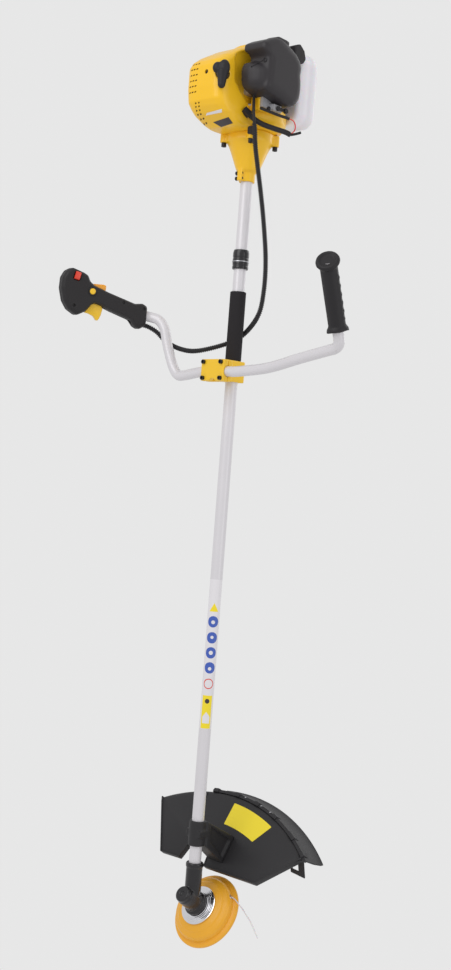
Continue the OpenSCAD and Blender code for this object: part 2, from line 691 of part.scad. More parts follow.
// Toothed cone: apex at the origin, opening along z
module bevel(cone, teeth, face_gap) {
    step = 360 / teeth;
    up = atan2(tooth_up, cone_out);
    down = atan2(tooth_down, cone_out);
    rotate_extrude() polygon([[0, cone_in * cos(cone)], [cone_in * sin(cone - down), cone_in * cos(cone - down)],
        [cone_out * sin(cone - down), cone_out * cos(cone - down)], [0, cone_out * cos(cone - down) + face_gap]]);
    for (i = [0 : teeth - 1]) rotate([0, 0, i * step - step * tooth_share / 2])
        rotate_extrude(angle = step * tooth_share) polygon([
            [cone_in * sin(cone - down - 1), cone_in * cos(cone - down - 1)],
            [cone_in * sin(cone + up), cone_in * cos(cone + up)],
            [cone_out * sin(cone + up), cone_out * cos(cone + up)],
            [cone_out * sin(cone - down - 1), cone_out * cos(cone - down - 1)]]);
}

pinion_phase = 180 / pinion_teeth;
module pinion_gear() color(steel) place() translate([0, 0, gear_z]) difference() {
    union() {
        rotate([0, 0, 90 + pinion_phase]) bevel(pinion_cone, pinion_teeth, 0);
        translate([0, 0, 21.5]) cylinder(r = 6, h = 35.5);
    }
    translate([0, 0, drive_z0 - gear_z]) cylinder(r = drive_r, h = 60);
}

module bevel_gear() color(steel) at_spin() difference() {
    union() {
        rotate([0, 0, 90]) bevel(gear_cone, gear_teeth, 0);
        translate([0, 0, 19]) cylinder(r = 9, h = 6.5);
    }
    translate([0, 0, 5]) cylinder(r = 4.5, h = 40);
}

module output_shaft() color(steel) at_spin() {
    translate([0, 0, -2]) cylinder(r = 4.5, h = 28);
    translate([0, 0, 26]) cylinder(r = 4, h = 9);
    translate([0, 0, -60]) cylinder(r = 5, h = 42);
    translate([0, 0, -18]) cylinder(r = 6, h = 16);
}

module ball_bearings() color(steel) {
    place() for (z = [24, 34]) translate([0, 0, z]) ring(14, 6 + run_gap, 8);
    at_spin() translate([0, 0, 28]) ring(11, 4 + run_gap, 7);
    at_spin() translate([0, 0, -14]) ring(16, 6 + run_gap, 10);
    place() translate([0, 0, 1551]) ring(17.5, 7.5, 11);
    place() translate([0, 0, 1675]) ring(17.5, 7.5, 11);
    place() translate([0, 0, 1728]) ring(17.5, 7.5, 11);
}

lug_turn = 133;
module gearcase() color(black) difference() {
    union() {
        place() translate([0, 0, gear_z + 12]) cylinder(r = 17.5, h = collar_z - gear_z - 12);
        at_spin() rotate_extrude() polygon([[0, -18], [26, -18], [26, -10], [19, -10], [19, 34],
            [17, 34], [13, 39], [0, 39]]);
        place() rotate([0, 0, lug_turn]) translate([12, -9, 55]) cube([13, 18, 17.5]);
    }
    place() rotate_extrude() polygon([[0, -0.7], [11.5, -0.7], [11.5, 24], [14, 24], [14, 44],
        [11.5, 44], [11.5, tube_z0], [tube_r, tube_z0], [tube_r, 110], [0, 110]]);
    at_spin() rotate_extrude() polygon([[0, -30], [10, -30], [10, -14], [16, -14], [16, -4],
        [15.2, -4], [15.2, 26], [8, 26], [8, 28], [11, 28], [11, 35.5], [0, 35.5]]);
    place() rotate([0, 0, lug_turn]) translate([10, -0.75, 50]) cube([20, 1.5, 30]);
    place() rotate([0, 0, lug_turn]) translate([19.5, -9, 64]) rotate([-90, 0, 0]) screw_hole(30);
}

// ---------------------------------------------------------------- line head

module adapter_ring() color("silver") at_spin() difference() {
    rotate_extrude() polygon([[6, -19], [30, -19], [ring_r - 2, -20.5], [ring_r, -22], [ring_r, -27],
        [ring_r - 2, -27], [ring_r - 2, -24], [20, -24], [6, -27]]);
    translate([0, 0, -40]) cylinder(r = 5, h = 60);
}

module head_housing() color(orange) at_spin() difference() {
    rotate_extrude() polygon([[5, -27.2], [40, -27.2], [55, -31], [58, -34], [66, -37.5], [69, -42],
        [70, -53], [head_r - 2, -54], [head_r, -56], [head_r, -61], [head_r - 2.5, -61],
        [head_r - 2.5, -57], [67, -56], [66, -43], [63, -40], [56, -37], [53, -34], [39, -30.5],
        [12, -30.5], [12, -58], [5, -58]]);
    for (a = [40, 220]) rotate([0, 0, a]) translate([60, 0, -48]) rotate([0, 90, 0]) cylinder(r = 4, h = 20);
}

module spool() color("white") at_spin() difference() {
    union() {
        translate([0, 0, -42]) cylinder(r = 52, h = 2);
        translate([0, 0, -67.5]) cylinder(r = 26, h = 27);
        translate([0, 0, -60]) cylinder(r = 60, h = 2);
        translate([0, 0, -60]) cylinder(r = 45, h = 20);
    }
    translate([0, 0, -80]) cylinder(r = 12.3, h = 60);
}

module head_cover() color(orange) at_spin() difference() {
    rotate_extrude() polygon([[30, -76], [34, -76], [62, -72], [75, -64], [77, -61.2], [head_r - 3, -57.3],
        [head_r - 5, -57.3], [74, -61.2], [72, -63], [60, -69], [34, -73], [30, -73]]);
    translate([0, 0, -90]) cylinder(r = 27, h = 40);
}

bump_travel = 6;
module bump_knob() color(black) at_spin() difference() {
    rotate_extrude() polygon([[0, -94], [18, -94], [22, -91], [22, -84], [25, -82], [25, -74.3],
        [0, -74.3]]);
    translate([0, 0, -84]) cylinder(r = 12, h = 20);
}

line_route = [[51, 43, -48], [58, 44, -48.5], [68, 41, -49.5], [78, 36, -50], [94, 29, -50],
    [110, 20, -50], [126, 11, -50], [140, 1, -50], [152, -8, -50], [162, -16, -50]];
module trimmer_line() color("whitesmoke") at_spin() sweep(line_route, line_r, 8, [0, 0, 1]);

// ---------------------------------------------------------------- fasteners

module fasteners() color([0.12, 0.12, 0.13]) {
    at_handle() translate([trigger_pivot[0], trigger_pivot[1], -slot_w / 2]) cylinder(r = 1.95, h = slot_w);
    at_handle() translate([lockout_pivot[0], lockout_pivot[1], -6.5]) cylinder(r = 1.95, h = 13);
    at_handle() for (p = handle_screw_places) translate([p[0], p[1], -15]) cylinder(r = 2, h = 30);
    place() cap_screw_places() screw(25);
    place() ear_places() translate([0, 0, ear_z]) screw(26);
    place() for (z = collar_screws) translate([-7, -20.5, z]) rotate([0, 90, 0]) screw(14);
    place() rotate([0, 0, lug_turn]) translate([19.5, -9, 64]) rotate([-90, 0, 0]) screw(18);
    at_spin() for (x = [-14, 14], y = [112, 146]) translate([x, y, guard_n]) screw(guard_t);
}

shaft_tube();
tube_bushes();
drive_shaft();
foam_grip();
harness_clamp();
hanger_plate();
bar_cap();
bar_bracket();
handlebar_tubes();
left_grip();
handle_shell_left();
handle_shell_right();
throttle_trigger();
throttle_lockout();
lock_button();
stop_switch();
throttle_cable();
clutch_housing();
clutch_drum();
clutch_shoes();
flywheel();
fan_housing();
crankcase();
crankshaft();
connecting_rod();
piston();
cylinder_barrel();
spark_plug();
plug_boot();
ignition_coil();
muffler();
carburettor();
primer_bulb();
choke_lever();
filter_base();
filter_foam();
filter_cover();
cylinder_shroud();
fuel_tank();
fuel_cap();
starter_housing();
starter_reel();
starter_handle();
wire_loom();
guard();
guard_extension();
guard_bracket();
line_knife();
pinion_gear();
bevel_gear();
output_shaft();
ball_bearings();
gearcase();
adapter_ring();
head_housing();
spool();
head_cover();
bump_knob();
trimmer_line();
fasteners();
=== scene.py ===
"""Brush cutter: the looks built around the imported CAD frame. Metres, row frame."""

import math

import bmesh
import bpy
import numpy as np
from mathutils import Matrix, Vector
from mathutils.bvhtree import BVHTree


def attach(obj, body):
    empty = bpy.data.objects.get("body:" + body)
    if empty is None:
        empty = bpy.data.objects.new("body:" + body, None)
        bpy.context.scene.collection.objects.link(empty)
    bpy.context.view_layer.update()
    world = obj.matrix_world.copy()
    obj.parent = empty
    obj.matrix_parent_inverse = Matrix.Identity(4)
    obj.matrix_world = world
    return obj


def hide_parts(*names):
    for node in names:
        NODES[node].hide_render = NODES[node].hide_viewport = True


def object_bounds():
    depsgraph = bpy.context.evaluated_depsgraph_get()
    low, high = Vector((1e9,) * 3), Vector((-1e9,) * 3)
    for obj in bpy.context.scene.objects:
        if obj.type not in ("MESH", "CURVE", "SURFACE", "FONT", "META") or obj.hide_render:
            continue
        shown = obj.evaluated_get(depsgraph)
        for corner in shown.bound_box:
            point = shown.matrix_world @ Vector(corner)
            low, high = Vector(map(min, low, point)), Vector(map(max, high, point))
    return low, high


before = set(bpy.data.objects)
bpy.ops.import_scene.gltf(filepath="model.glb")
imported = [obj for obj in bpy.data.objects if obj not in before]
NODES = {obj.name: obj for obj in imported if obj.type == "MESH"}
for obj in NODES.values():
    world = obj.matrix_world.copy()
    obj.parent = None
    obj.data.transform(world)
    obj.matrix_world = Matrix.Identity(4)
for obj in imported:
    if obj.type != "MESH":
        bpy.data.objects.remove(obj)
cad_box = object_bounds()

# ---------------------------------------------------------------- places
# Stations are the CAD model's own millimetres, with z along the shaft from the gear head.
# STATION turns them into the frame's metres; SPIN is the line head's tilted frame and HANDLE the
# control handle's, both in millimetres.
SHAFT_R = 13
BAR_Y, BAR_Z, BAR_BORE = -48, 1115, 11.2
LABEL_THICK = 0.0003
EYELET = Vector((-24.0416, 24.0416, 1359.0))


def st(x, y, z):
    return Vector(((x - EYELET.x) / 1000, (y - EYELET.y) / 1000, (z - EYELET.z) / 1000))


STATION = Matrix.Translation(-EYELET / 1000) @ Matrix.Scale(0.001, 4)
TILT = math.radians(57)
TO_SPIN = Matrix.Translation((0, 0, -10)) @ Matrix.Rotation(TILT, 4, "X")
SPIN = STATION @ TO_SPIN
HANDLE = (
    STATION
    @ Matrix.Translation((-197, -79, 1237))
    @ Matrix.Rotation(math.radians(-112.8), 4, "Z")
    @ Matrix.Rotation(math.radians(-12.2), 4, "Y")
    @ Matrix.Rotation(math.radians(-95.4), 4, "X")
)


def in_scene(name, data):
    """A new object in the scene."""
    obj = bpy.data.objects.new(name, data)
    bpy.context.scene.collection.objects.link(obj)
    return obj


# ---------------------------------------------------------------- camera
AZIMUTH = math.radians(43)
ROLL = math.radians(4.36)
DISTANCE = 2870
AIM_Z = 878
AIM_OFF = 4.05

toward = Vector((math.sin(AZIMUTH), -math.cos(AZIMUTH), 0))
level = Vector((math.cos(AZIMUTH), math.sin(AZIMUTH), 0))
cam_right = level * math.cos(ROLL) + Vector((0, 0, 1)) * math.sin(ROLL)
cam_up = Vector((0, 0, 1)) * math.cos(ROLL) - level * math.sin(ROLL)
cam_at = Vector((0, 0, AIM_Z)) + toward * DISTANCE + cam_right * AIM_OFF
cam_data = bpy.data.cameras.new("camera")
cam_data.lens = 50
cam_data.sensor_width = 36
cam_data.clip_end = 50
camera = in_scene("camera", cam_data)
turn = Matrix((cam_right, cam_up, toward)).transposed().to_4x4()
camera.matrix_world = Matrix.Translation(st(*cam_at)) @ turn
bpy.context.scene.camera = camera


# ---------------------------------------------------------------- materials
def srgb(r, g, b):
    """0-255 picture colour to linear."""
    return tuple(
        (c / 12.92 if c <= 0.04045 else ((c + 0.055) / 1.055) ** 2.4)
        for c in (r / 255, g / 255, b / 255)
    )


def material(name, color, rough=0.5, metallic=0.0, coat=0.0, grain=400.0, bump=0.02, vary=0.06,
             patch=18.0, sss=0.0, spec=0.5):
    """Procedural finish: fine grain in the normal, broad patches in colour and roughness."""
    mat = bpy.data.materials.new(name)
    mat.use_nodes = True
    nt = mat.node_tree
    shader = nt.nodes["Principled BSDF"]
    for socket, value in (("Metallic", metallic), ("Coat Weight", coat), ("Coat Roughness", 0.12),
                          ("Subsurface Weight", sss), ("Subsurface Scale", 0.01),
                          ("Specular IOR Level", spec)):
        shader.inputs[socket].default_value = value
    place = nt.nodes.new("ShaderNodeTexCoord")
    broad = nt.nodes.new("ShaderNodeTexNoise")
    broad.inputs["Scale"].default_value = patch
    broad.inputs["Detail"].default_value = 4
    nt.links.new(place.outputs["Object"], broad.inputs["Vector"])
    mix = nt.nodes.new("ShaderNodeMix")
    mix.data_type = "RGBA"
    mix.inputs["A"].default_value = (*[c * (1 - vary) for c in color], 1)
    mix.inputs["B"].default_value = (*[min(1, c * (1 + vary)) for c in color], 1)
    nt.links.new(broad.outputs["Fac"], mix.inputs["Factor"])
    nt.links.new(mix.outputs["Result"], shader.inputs["Base Color"])
    ramp = nt.nodes.new("ShaderNodeMapRange")
    ramp.inputs["To Min"].default_value = max(0.02, rough - 0.08)
    ramp.inputs["To Max"].default_value = min(1, rough + 0.08)
    nt.links.new(broad.outputs["Fac"], ramp.inputs["Value"])
    nt.links.new(ramp.outputs["Result"], shader.inputs["Roughness"])
    fine = nt.nodes.new("ShaderNodeTexNoise")
    fine.inputs["Scale"].default_value = grain
    fine.inputs["Detail"].default_value = 3
    nt.links.new(place.outputs["Object"], fine.inputs["Vector"])
    knock = nt.nodes.new("ShaderNodeBump")
    knock.inputs["Strength"].default_value = bump
    knock.inputs["Distance"].default_value = 0.001
    nt.links.new(fine.outputs["Fac"], knock.inputs["Height"])
    nt.links.new(knock.outputs["Normal"], shader.inputs["Normal"])
    return mat


YELLOW = material("yellow_shell", srgb(250, 196, 32), 0.34, coat=0.2, spec=0.4, vary=0.03)
YELLOW2 = material("yellow_clamp", srgb(248, 200, 44), 0.36, coat=0.15, spec=0.4, vary=0.03)
ORANGE = material("orange_head", srgb(244, 176, 44), 0.36, coat=0.15, spec=0.4, vary=0.04)
LOCK = material("orange_lever", srgb(248, 170, 48), 0.38, coat=0.1)
BLACK = material("black_moulding", srgb(40, 38, 40), 0.5, grain=900, bump=0.12, spec=0.3)
GREY = material("dark_cover", srgb(50, 47, 50), 0.44, grain=900, bump=0.1, spec=0.35)
GUARD = material("guard_plastic", srgb(46, 45, 47), 0.5, grain=700, bump=0.15, spec=0.3)
RUBBER = material("rubber", srgb(36, 34, 37), 0.52, grain=700, bump=0.2, spec=0.35)
FOAM = material("grip_foam", srgb(46, 44, 46), 0.85, grain=1500, bump=0.5, spec=0.15)
SILVER = material("silver_paint", srgb(222, 219, 223), 0.34, metallic=0.1, coat=0.2, vary=0.02)
CHROME = material("plated", srgb(232, 232, 236), 0.14, metallic=1.0)
STEEL = material("machined_steel", srgb(186, 186, 190), 0.3, metallic=1.0, grain=250)
ALLOY = material("cast_alloy", srgb(182, 182, 186), 0.5, metallic=0.7, grain=500, bump=0.25)
DARK_STEEL = material("black_screw", srgb(36, 34, 37), 0.35, metallic=0.4)
PAINT = material("black_paint", srgb(26, 24, 28), 0.28, coat=0.35, spec=0.4)
TANK = material("tank_plastic", srgb(238, 235, 241), 0.4, sss=0.2, bump=0.05, vary=0.02)
WHITE = material("white_plastic", srgb(236, 236, 234), 0.4)
LINE = material("line_nylon", srgb(226, 222, 226), 0.3, sss=0.2)
RED = material("red_part", srgb(226, 66, 46), 0.3, coat=0.2)
BLUE = material("blue_disc", srgb(66, 96, 186), 0.35)
PALE = material("label_pale", srgb(232, 229, 233), 0.4, vary=0.02)
DARK_LABEL = material("label_dark", srgb(62, 54, 58), 0.4)
YELLOW_LABEL = material("label_yellow", srgb(250, 226, 44), 0.4, vary=0.02)
AIR_FOAM = material("air_foam", srgb(66, 78, 104), 0.9, grain=900, bump=0.6)

CAD_LOOKS = {
    SILVER: "shaft_tube handlebar_tubes",
    WHITE: "tube_bushes spool",
    STEEL: "drive_shaft hanger_plate clutch_drum crankshaft connecting_rod spark_plug muffler "
        "line_knife pinion_gear bevel_gear output_shaft ball_bearings",
    FOAM: "foam_grip",
    BLACK: "harness_clamp handle_shell_left handle_shell_right ignition_coil choke_lever "
        "filter_base fuel_cap starter_reel starter_handle bump_knob",
    YELLOW2: "bar_cap bar_bracket throttle_trigger lock_button",
    RUBBER: "left_grip throttle_cable plug_boot primer_bulb wire_loom",
    LOCK: "throttle_lockout",
    RED: "stop_switch",
    YELLOW: "clutch_housing fan_housing cylinder_shroud starter_housing",
    DARK_STEEL: "clutch_shoes fasteners",
    ALLOY: "flywheel crankcase piston cylinder_barrel carburettor",
    AIR_FOAM: "filter_foam",
    GREY: "filter_cover",
    TANK: "fuel_tank",
    GUARD: "guard guard_extension guard_bracket",
    PAINT: "gearcase",
    CHROME: "adapter_ring",
    ORANGE: "head_housing head_cover",
    LINE: "trimmer_line",
}
for look, nodes in CAD_LOOKS.items():
    for node in nodes.split():
        slots = NODES[node].data.materials
        slots.clear()
        slots.append(look)


# ---------------------------------------------------------------- shape tools
def cleaned(data, near=0):
    """Joins points closer than near metres and turns the faces outwards."""
    bm = bmesh.new()
    bm.from_mesh(data)
    if near:
        bmesh.ops.remove_doubles(bm, verts=bm.verts, dist=near)
    bmesh.ops.recalc_face_normals(bm, faces=bm.faces)
    bm.to_mesh(data)
    bm.free()


def add(name, verts, faces, look, body="machine", matrix=None, smooth=40, stands_for=()):
    """A piece from points in matrix's own units."""
    data = bpy.data.meshes.new(name)
    data.from_pydata([tuple(matrix @ Vector(v)) if matrix else tuple(v) for v in verts], [], faces)
    data.validate()
    cleaned(data)
    obj = in_scene(name, data)
    data.materials.append(look)
    shade(obj, smooth)
    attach(obj, body)
    if stands_for:
        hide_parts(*stands_for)
    return obj


def shade(obj, degrees):
    for poly in obj.data.polygons:
        poly.use_smooth = True
    obj.data.set_sharp_from_angle(angle=math.radians(degrees))


def baked(obj):
    """Applies the modifiers on obj."""
    depth = bpy.context.evaluated_depsgraph_get()
    done = bpy.data.meshes.new_from_object(obj.evaluated_get(depth))
    old = obj.data
    obj.modifiers.clear()
    obj.data = done
    bpy.data.meshes.remove(old)
    return obj


def beveled(obj, width, segments=3, angle=35, smooth=40):
    mod = obj.modifiers.new("bevel", "BEVEL")
    mod.width = width
    mod.segments = segments
    mod.limit_method = "ANGLE"
    mod.angle_limit = math.radians(angle)
    mod.use_clamp_overlap = True
    baked(obj)
    shade(obj, smooth)
    return obj


def catmull(points, steps):
    """Smooth line through the points."""
    p = [Vector(q) for q in points]
    out = []
    for i in range(len(p) - 1):
        a, b, c, d = p[max(i - 1, 0)], p[i], p[i + 1], p[min(i + 2, len(p) - 1)]
        for s in range(steps):
            t = s / steps
            out.append(
                0.5 * (2 * b + (c - a) * t + (2 * a - 5 * b + 4 * c - d) * t * t
                       + (3 * b - a - 3 * c + d) * t ** 3)
            )
    out.append(p[-1])
    return out


def tube(name, line, radii, look, sides=24, body="machine", matrix=None, smooth=40, stands_for=()):
    """A tube along the line; radii is one radius or one for each point."""
    count = len(line)
    radii = [radii] * count if isinstance(radii, (int, float)) else radii
    verts, faces = [], []
    tangent = (line[1] - line[0]).normalized()
    side = tangent.orthogonal().normalized()
    for i, point in enumerate(line):
        ahead = (line[min(i + 1, count - 1)] - line[max(i - 1, 0)]).normalized()
        side = (side - ahead * side.dot(ahead)).normalized()
        across = ahead.cross(side)
        for k in range(sides):
            a = 2 * math.pi * k / sides
            verts.append(point + radii[i] * (math.cos(a) * side + math.sin(a) * across))
    for i in range(count - 1):
        for k in range(sides):
            a, b = i * sides + k, i * sides + (k + 1) % sides
            faces.append((a, b, b + sides, a + sides))
    faces.append(tuple(range(sides - 1, -1, -1)))
    faces.append(tuple(range((count - 1) * sides, count * sides)))
    return add(name, verts, faces, look, body, matrix, smooth, stands_for)


def revolve(name, profile, look, steps=64, body="machine", matrix=None, smooth=35,
            stands_for=(), turn=(0, 360)):
    """Turns an (r, z) outline about z."""
    whole = abs(turn[1] - turn[0] - 360) < 1e-6
    rings = steps if whole else steps + 1
    verts, faces = [], []
    n = len(profile)
    for k in range(rings):
        a = math.radians(turn[0] + (turn[1] - turn[0]) * k / steps)
        verts += [(r * math.cos(a), r * math.sin(a), z) for r, z in profile]
    for k in range(steps):
        j = (k + 1) % rings
        for i in range(n):
            m = (i + 1) % n
            faces.append((k * n + i, j * n + i, j * n + m, k * n + m))
    if not whole:
        faces.append(tuple(range(n)))
        faces.append(tuple(range((rings - 1) * n, rings * n)))
    obj = add(name, verts, faces, look, body, matrix, smooth)
    cleaned(obj.data, 1e-6)
    if stands_for:
        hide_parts(*stands_for)
    return obj


def slab(name, outline, z0, z1, look, bevel=0.0, segments=3, body="machine", matrix=None,
         stands_for=(), smooth=40):
    """Extrudes an outline from z0 to z1; bevel is in metres."""
    n = len(outline)
    verts = [(x, y, z0) for x, y in outline] + [(x, y, z1) for x, y in outline]
    faces = [tuple(range(n - 1, -1, -1)), tuple(range(n, 2 * n))]
    faces += [(i, (i + 1) % n, n + (i + 1) % n, n + i) for i in range(n)]
    obj = add(name, verts, faces, look, body, matrix, smooth, stands_for)
    if bevel:
        beveled(obj, bevel, segments, smooth=smooth)
    return obj


# ---------------------------------------------------------------- cord
LINE_R = 1.2
LINE_ROUTE = [(51, 43, -48), (58, 44, -48.5), (68, 41, -49.5), (78, 36, -50), (94, 29, -50),
              (110, 20, -50), (126, 11, -50), (140, 1, -50), (152, -8, -50), (162, -16, -50)]
line_pts = [SPIN @ Vector(p) for p in LINE_ROUTE]
line_path = catmull(line_pts, 3)
trimmer = tube("trimmer_line_end", line_path, LINE_R / 1000, LINE, 12, "head",
               stands_for=["trimmer_line"])


# ---------------------------------------------------------------- moulded forms
def ellipsoid(center, radii, rings=16, sides=24):
    """Points and faces of an ellipsoid, station mm."""
    verts, faces = [], []
    for i in range(rings + 1):
        a = math.pi * i / rings
        for k in range(sides):
            b = 2 * math.pi * k / sides
            verts.append((center[0] + radii[0] * math.sin(a) * math.cos(b),
                          center[1] + radii[1] * math.sin(a) * math.sin(b),
                          center[2] + radii[2] * math.cos(a)))
    for i in range(rings):
        for k in range(sides):
            j = (k + 1) % sides
            faces.append((i * sides + k, i * sides + j, (i + 1) * sides + j, (i + 1) * sides + k))
    return verts, faces


def fillet(outline, radius, per=5):
    """Rounds the corners of an outline; radius is one number or one for each corner."""
    n = len(outline)
    radii = [radius] * n if isinstance(radius, (int, float)) else radius
    out = []
    for i in range(n):
        p0, p1, p2 = (Vector(outline[j]) for j in ((i - 1) % n, i, (i + 1) % n))
        a, b = (p0 - p1), (p2 - p1)
        la, lb = a.length, b.length
        a, b = a / la, b / lb
        half = math.acos(max(-1, min(1, a.dot(b)))) / 2
        cut = min(radii[i] / max(math.tan(half), 1e-3), la * 0.48, lb * 0.48)
        s, e = p1 + a * cut, p1 + b * cut
        for k in range(per + 1):
            t = k / per
            out.append(tuple((1 - t) ** 2 * s + 2 * t * (1 - t) * p1 + t * t * e))
    return out


def loft(sections):
    """Points and faces through closed sections of equal length."""
    n = len(sections[0])
    verts = [p for s in sections for p in s]
    faces = [tuple(range(n - 1, -1, -1)),
             tuple(range((len(sections) - 1) * n, len(sections) * n))]
    for i in range(len(sections) - 1):
        for k in range(n):
            j = (k + 1) % n
            faces.append((i * n + k, i * n + j, (i + 1) * n + j, (i + 1) * n + k))
    return verts, faces


def prism(outline, a0, a1, axis):
    """Extrudes an outline along axis 0, 1 or 2; its two values take the other axes in order."""
    def at(p, a):
        q = [p[0], p[1]]
        q.insert(axis, a)
        return tuple(q)
    return loft([[at(p, a0) for p in outline], [at(p, a1) for p in outline]])


def raw(name, shape, matrix=STATION):
    """An object from points and faces, with no material or body yet."""
    verts, faces = shape
    data = bpy.data.meshes.new(name)
    data.from_pydata([tuple(matrix @ Vector(v)) for v in verts], [], faces)
    cleaned(data, 1e-7)
    return in_scene(name, data)


def drop(obj):
    data = obj.data
    bpy.data.objects.remove(obj)
    bpy.data.meshes.remove(data)


def boolean(obj, other):
    """Cuts other out of obj; a cut that would empty the piece is left out and named."""
    before = obj.data.copy()
    mod = obj.modifiers.new("cut", "BOOLEAN")
    mod.operation = "DIFFERENCE"
    mod.solver = "EXACT"
    mod.object = other
    baked(obj)
    if len(obj.data.vertices) < 0.4 * len(before.vertices):
        print("cut left out:", other.name)
        obj.data = before
    else:
        bpy.data.meshes.remove(before)
    drop(other)


def gathered(shapes):
    """Points and faces of several closed shapes in one list."""
    verts, faces = [], []
    for v, f in shapes:
        base = len(verts)
        verts += list(v)
        faces += [tuple(i + base for i in q) for q in f]
    return verts, faces


def remeshed(obj, voxel, rounds, keep=0.5):
    """Voxel remesh, then rounds of smoothing."""
    mod = obj.modifiers.new("remesh", "REMESH")
    mod.mode = "VOXEL"
    mod.voxel_size = voxel
    baked(obj)
    if rounds:
        mod = obj.modifiers.new("smooth", "SMOOTH")
        mod.iterations = rounds
        mod.factor = keep
        baked(obj)


def moulded(name, solids, cuts, look, voxel=0.0018, rounds=4, body="machine", matrix=STATION,
            stands_for=(), sharp=50, fine_cuts=()):
    """Solids joined, cuts taken out and edges rounded by voxel remeshing, then sharp cuts."""
    obj = raw(name, gathered(solids), matrix)
    remeshed(obj, voxel, 0)
    if cuts:
        tool = raw(f"{name}_tool", gathered(cuts), matrix)
        remeshed(tool, voxel, 0)
        boolean(obj, tool)
        remeshed(obj, voxel, 0)
    remeshed(obj, voxel, rounds)
    for i, shape in enumerate(fine_cuts):
        boolean(obj, raw(f"{name}_{i}", shape, matrix))
    obj.data.materials.clear()
    obj.data.materials.append(look)
    shade(obj, sharp)
    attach(obj, body)
    if stands_for:
        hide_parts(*stands_for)
    return obj


def moved(shape, matrix):
    verts, faces = shape
    return [tuple(matrix @ Vector(v)) for v in verts], faces


def rod(a, b, r, sides=20, r2=None):
    """A cylinder or cone between two points."""
    a, b = Vector(a), Vector(b)
    d = (b - a).normalized()
    u = d.orthogonal().normalized()
    w = d.cross(u)
    r2 = r if r2 is None else r2
    return loft([[tuple(p + q * (math.cos(2 * math.pi * k / sides) * u
                                 + math.sin(2 * math.pi * k / sides) * w))
                  for k in range(sides)] for p, q in ((a, r), (b, r2))])


def block(x0, x1, y0, y1, z0, z1):
    return prism([(x0, y0), (x1, y0), (x1, y1), (x0, y1)], z0, z1, 2)


# ---------------------------------------------------------------- helpers for seated detail
def offset(outline, d):
    """Moves a closed outline inwards by d."""
    n = len(outline)
    area = sum(outline[i][0] * outline[(i + 1) % n][1] - outline[(i + 1) % n][0] * outline[i][1]
               for i in range(n))
    sign = 1 if area > 0 else -1
    out = []
    for i in range(n):
        e = Vector(outline[(i + 1) % n]) - Vector(outline[i - 1])
        e = e / max(e.length, 1e-9)
        out.append((outline[i][0] - sign * e.y * d, outline[i][1] + sign * e.x * d))
    return out


def skin(obj):
    """A tree of obj's faces, for rays."""
    return BVHTree.FromPolygons([v.co for v in obj.data.vertices],
                                [p.vertices for p in obj.data.polygons])


VIEWPOINT = STATION @ cam_at


def seat(trees, across, z):
    """Point and normal where the sight line to (across, z) by the shaft first meets a skin."""
    aim = STATION @ (level * across + Vector((0, 0, z)))
    best = None
    for tree in trees:
        hit, normal, _, far = tree.ray_cast(VIEWPOINT, (aim - VIEWPOINT).normalized())
        if hit and (best is None or far < best[2]):
            best = (hit, normal, far)
    return best[0], best[1]


def thickened(obj):
    """Gives a label its thickness."""
    mod = obj.modifiers.new("thick", "SOLIDIFY")
    mod.thickness = LABEL_THICK
    mod.offset = 0
    baked(obj)
    shade(obj, 40)
    return obj


def decal(name, corners, trees, look, cells=8, lift=LABEL_THICK):
    """A thin label laid on a skin between four (across, z) corners."""
    verts, faces = [], []
    c = [Vector(p) for p in corners]
    for j in range(cells + 1):
        for i in range(cells + 1):
            u, v = i / cells, j / cells
            p = (c[0] * (1 - u) + c[1] * u) * (1 - v) + (c[3] * (1 - u) + c[2] * u) * v
            hit, normal = seat(trees, p.x, p.y)
            verts.append(hit + normal * lift)
    for j in range(cells):
        for i in range(cells):
            a = j * (cells + 1) + i
            faces.append((a, a + 1, a + cells + 2, a + cells + 1))
    return thickened(add(name, verts, faces, look))


def screw_on(name, at, normal, r, look, body="machine", h=2.4):
    """A cap screw with a round socket recess, seated at a point in metres."""
    up = normal.to_track_quat("Z", "Y").to_matrix().to_4x4()
    m = Matrix.Translation(at) @ up @ Matrix.Scale(0.001, 4)
    cap = fillet([(0, h), (0, h * 0.35), (r * 0.5, h * 0.35), (r * 0.55, h), (r, h), (r, -0.6),
                  (0, -0.6)],
                 [0.01, 0.01, 0.01, 0.2, 0.5, 0.1, 0.01], 2)
    return revolve(name, cap, look, 24, body, m)


# ---------------------------------------------------------------- engine shroud
def plan(x0, x1, y0, y1, r, z):
    """A level of the shroud: a rectangle with its two front corners rounded by r."""
    return [(x, y, z) for x, y in fillet([(x0, y0), (x1, y0), (x1, y1), (x0, y1)], [r, r, 8, 8], 6)]


SHROUD_LEVELS = [
    (1620, -40, 36, -92, 24), (1628, -49, 44, -106, 26), (1641, -52, 47, -131, 27),
    (1652, -54, 48, -142, 27), (1663, -56, 48, -149, 27), (1690, -56, 48, -153, 27),
    (1732, -56, 47, -153, 27), (1744, -54, 46, -147, 27), (1757, -52, 45, -131, 27),
    (1768, -50, 45, -112, 27), (1778, -47, 44, -95, 26), (1786, -44, 43, -78, 24),
    (1793, -40, 42, -60, 12), (1799, -34, 40, -50, 8),
]


def front_y(x, z):
    """Y of the shroud's front at (x, z)."""
    for a, b in zip(SHROUD_LEVELS, SHROUD_LEVELS[1:]):
        if a[0] <= z <= b[0]:
            t = (z - a[0]) / (b[0] - a[0])
            x0, y0, r = (a[i] + (b[i] - a[i]) * t for i in (1, 3, 4))
            d = min(max(0, x0 + r - x), r)
            return y0 + r - math.sqrt(r * r - d * d)
    return -150


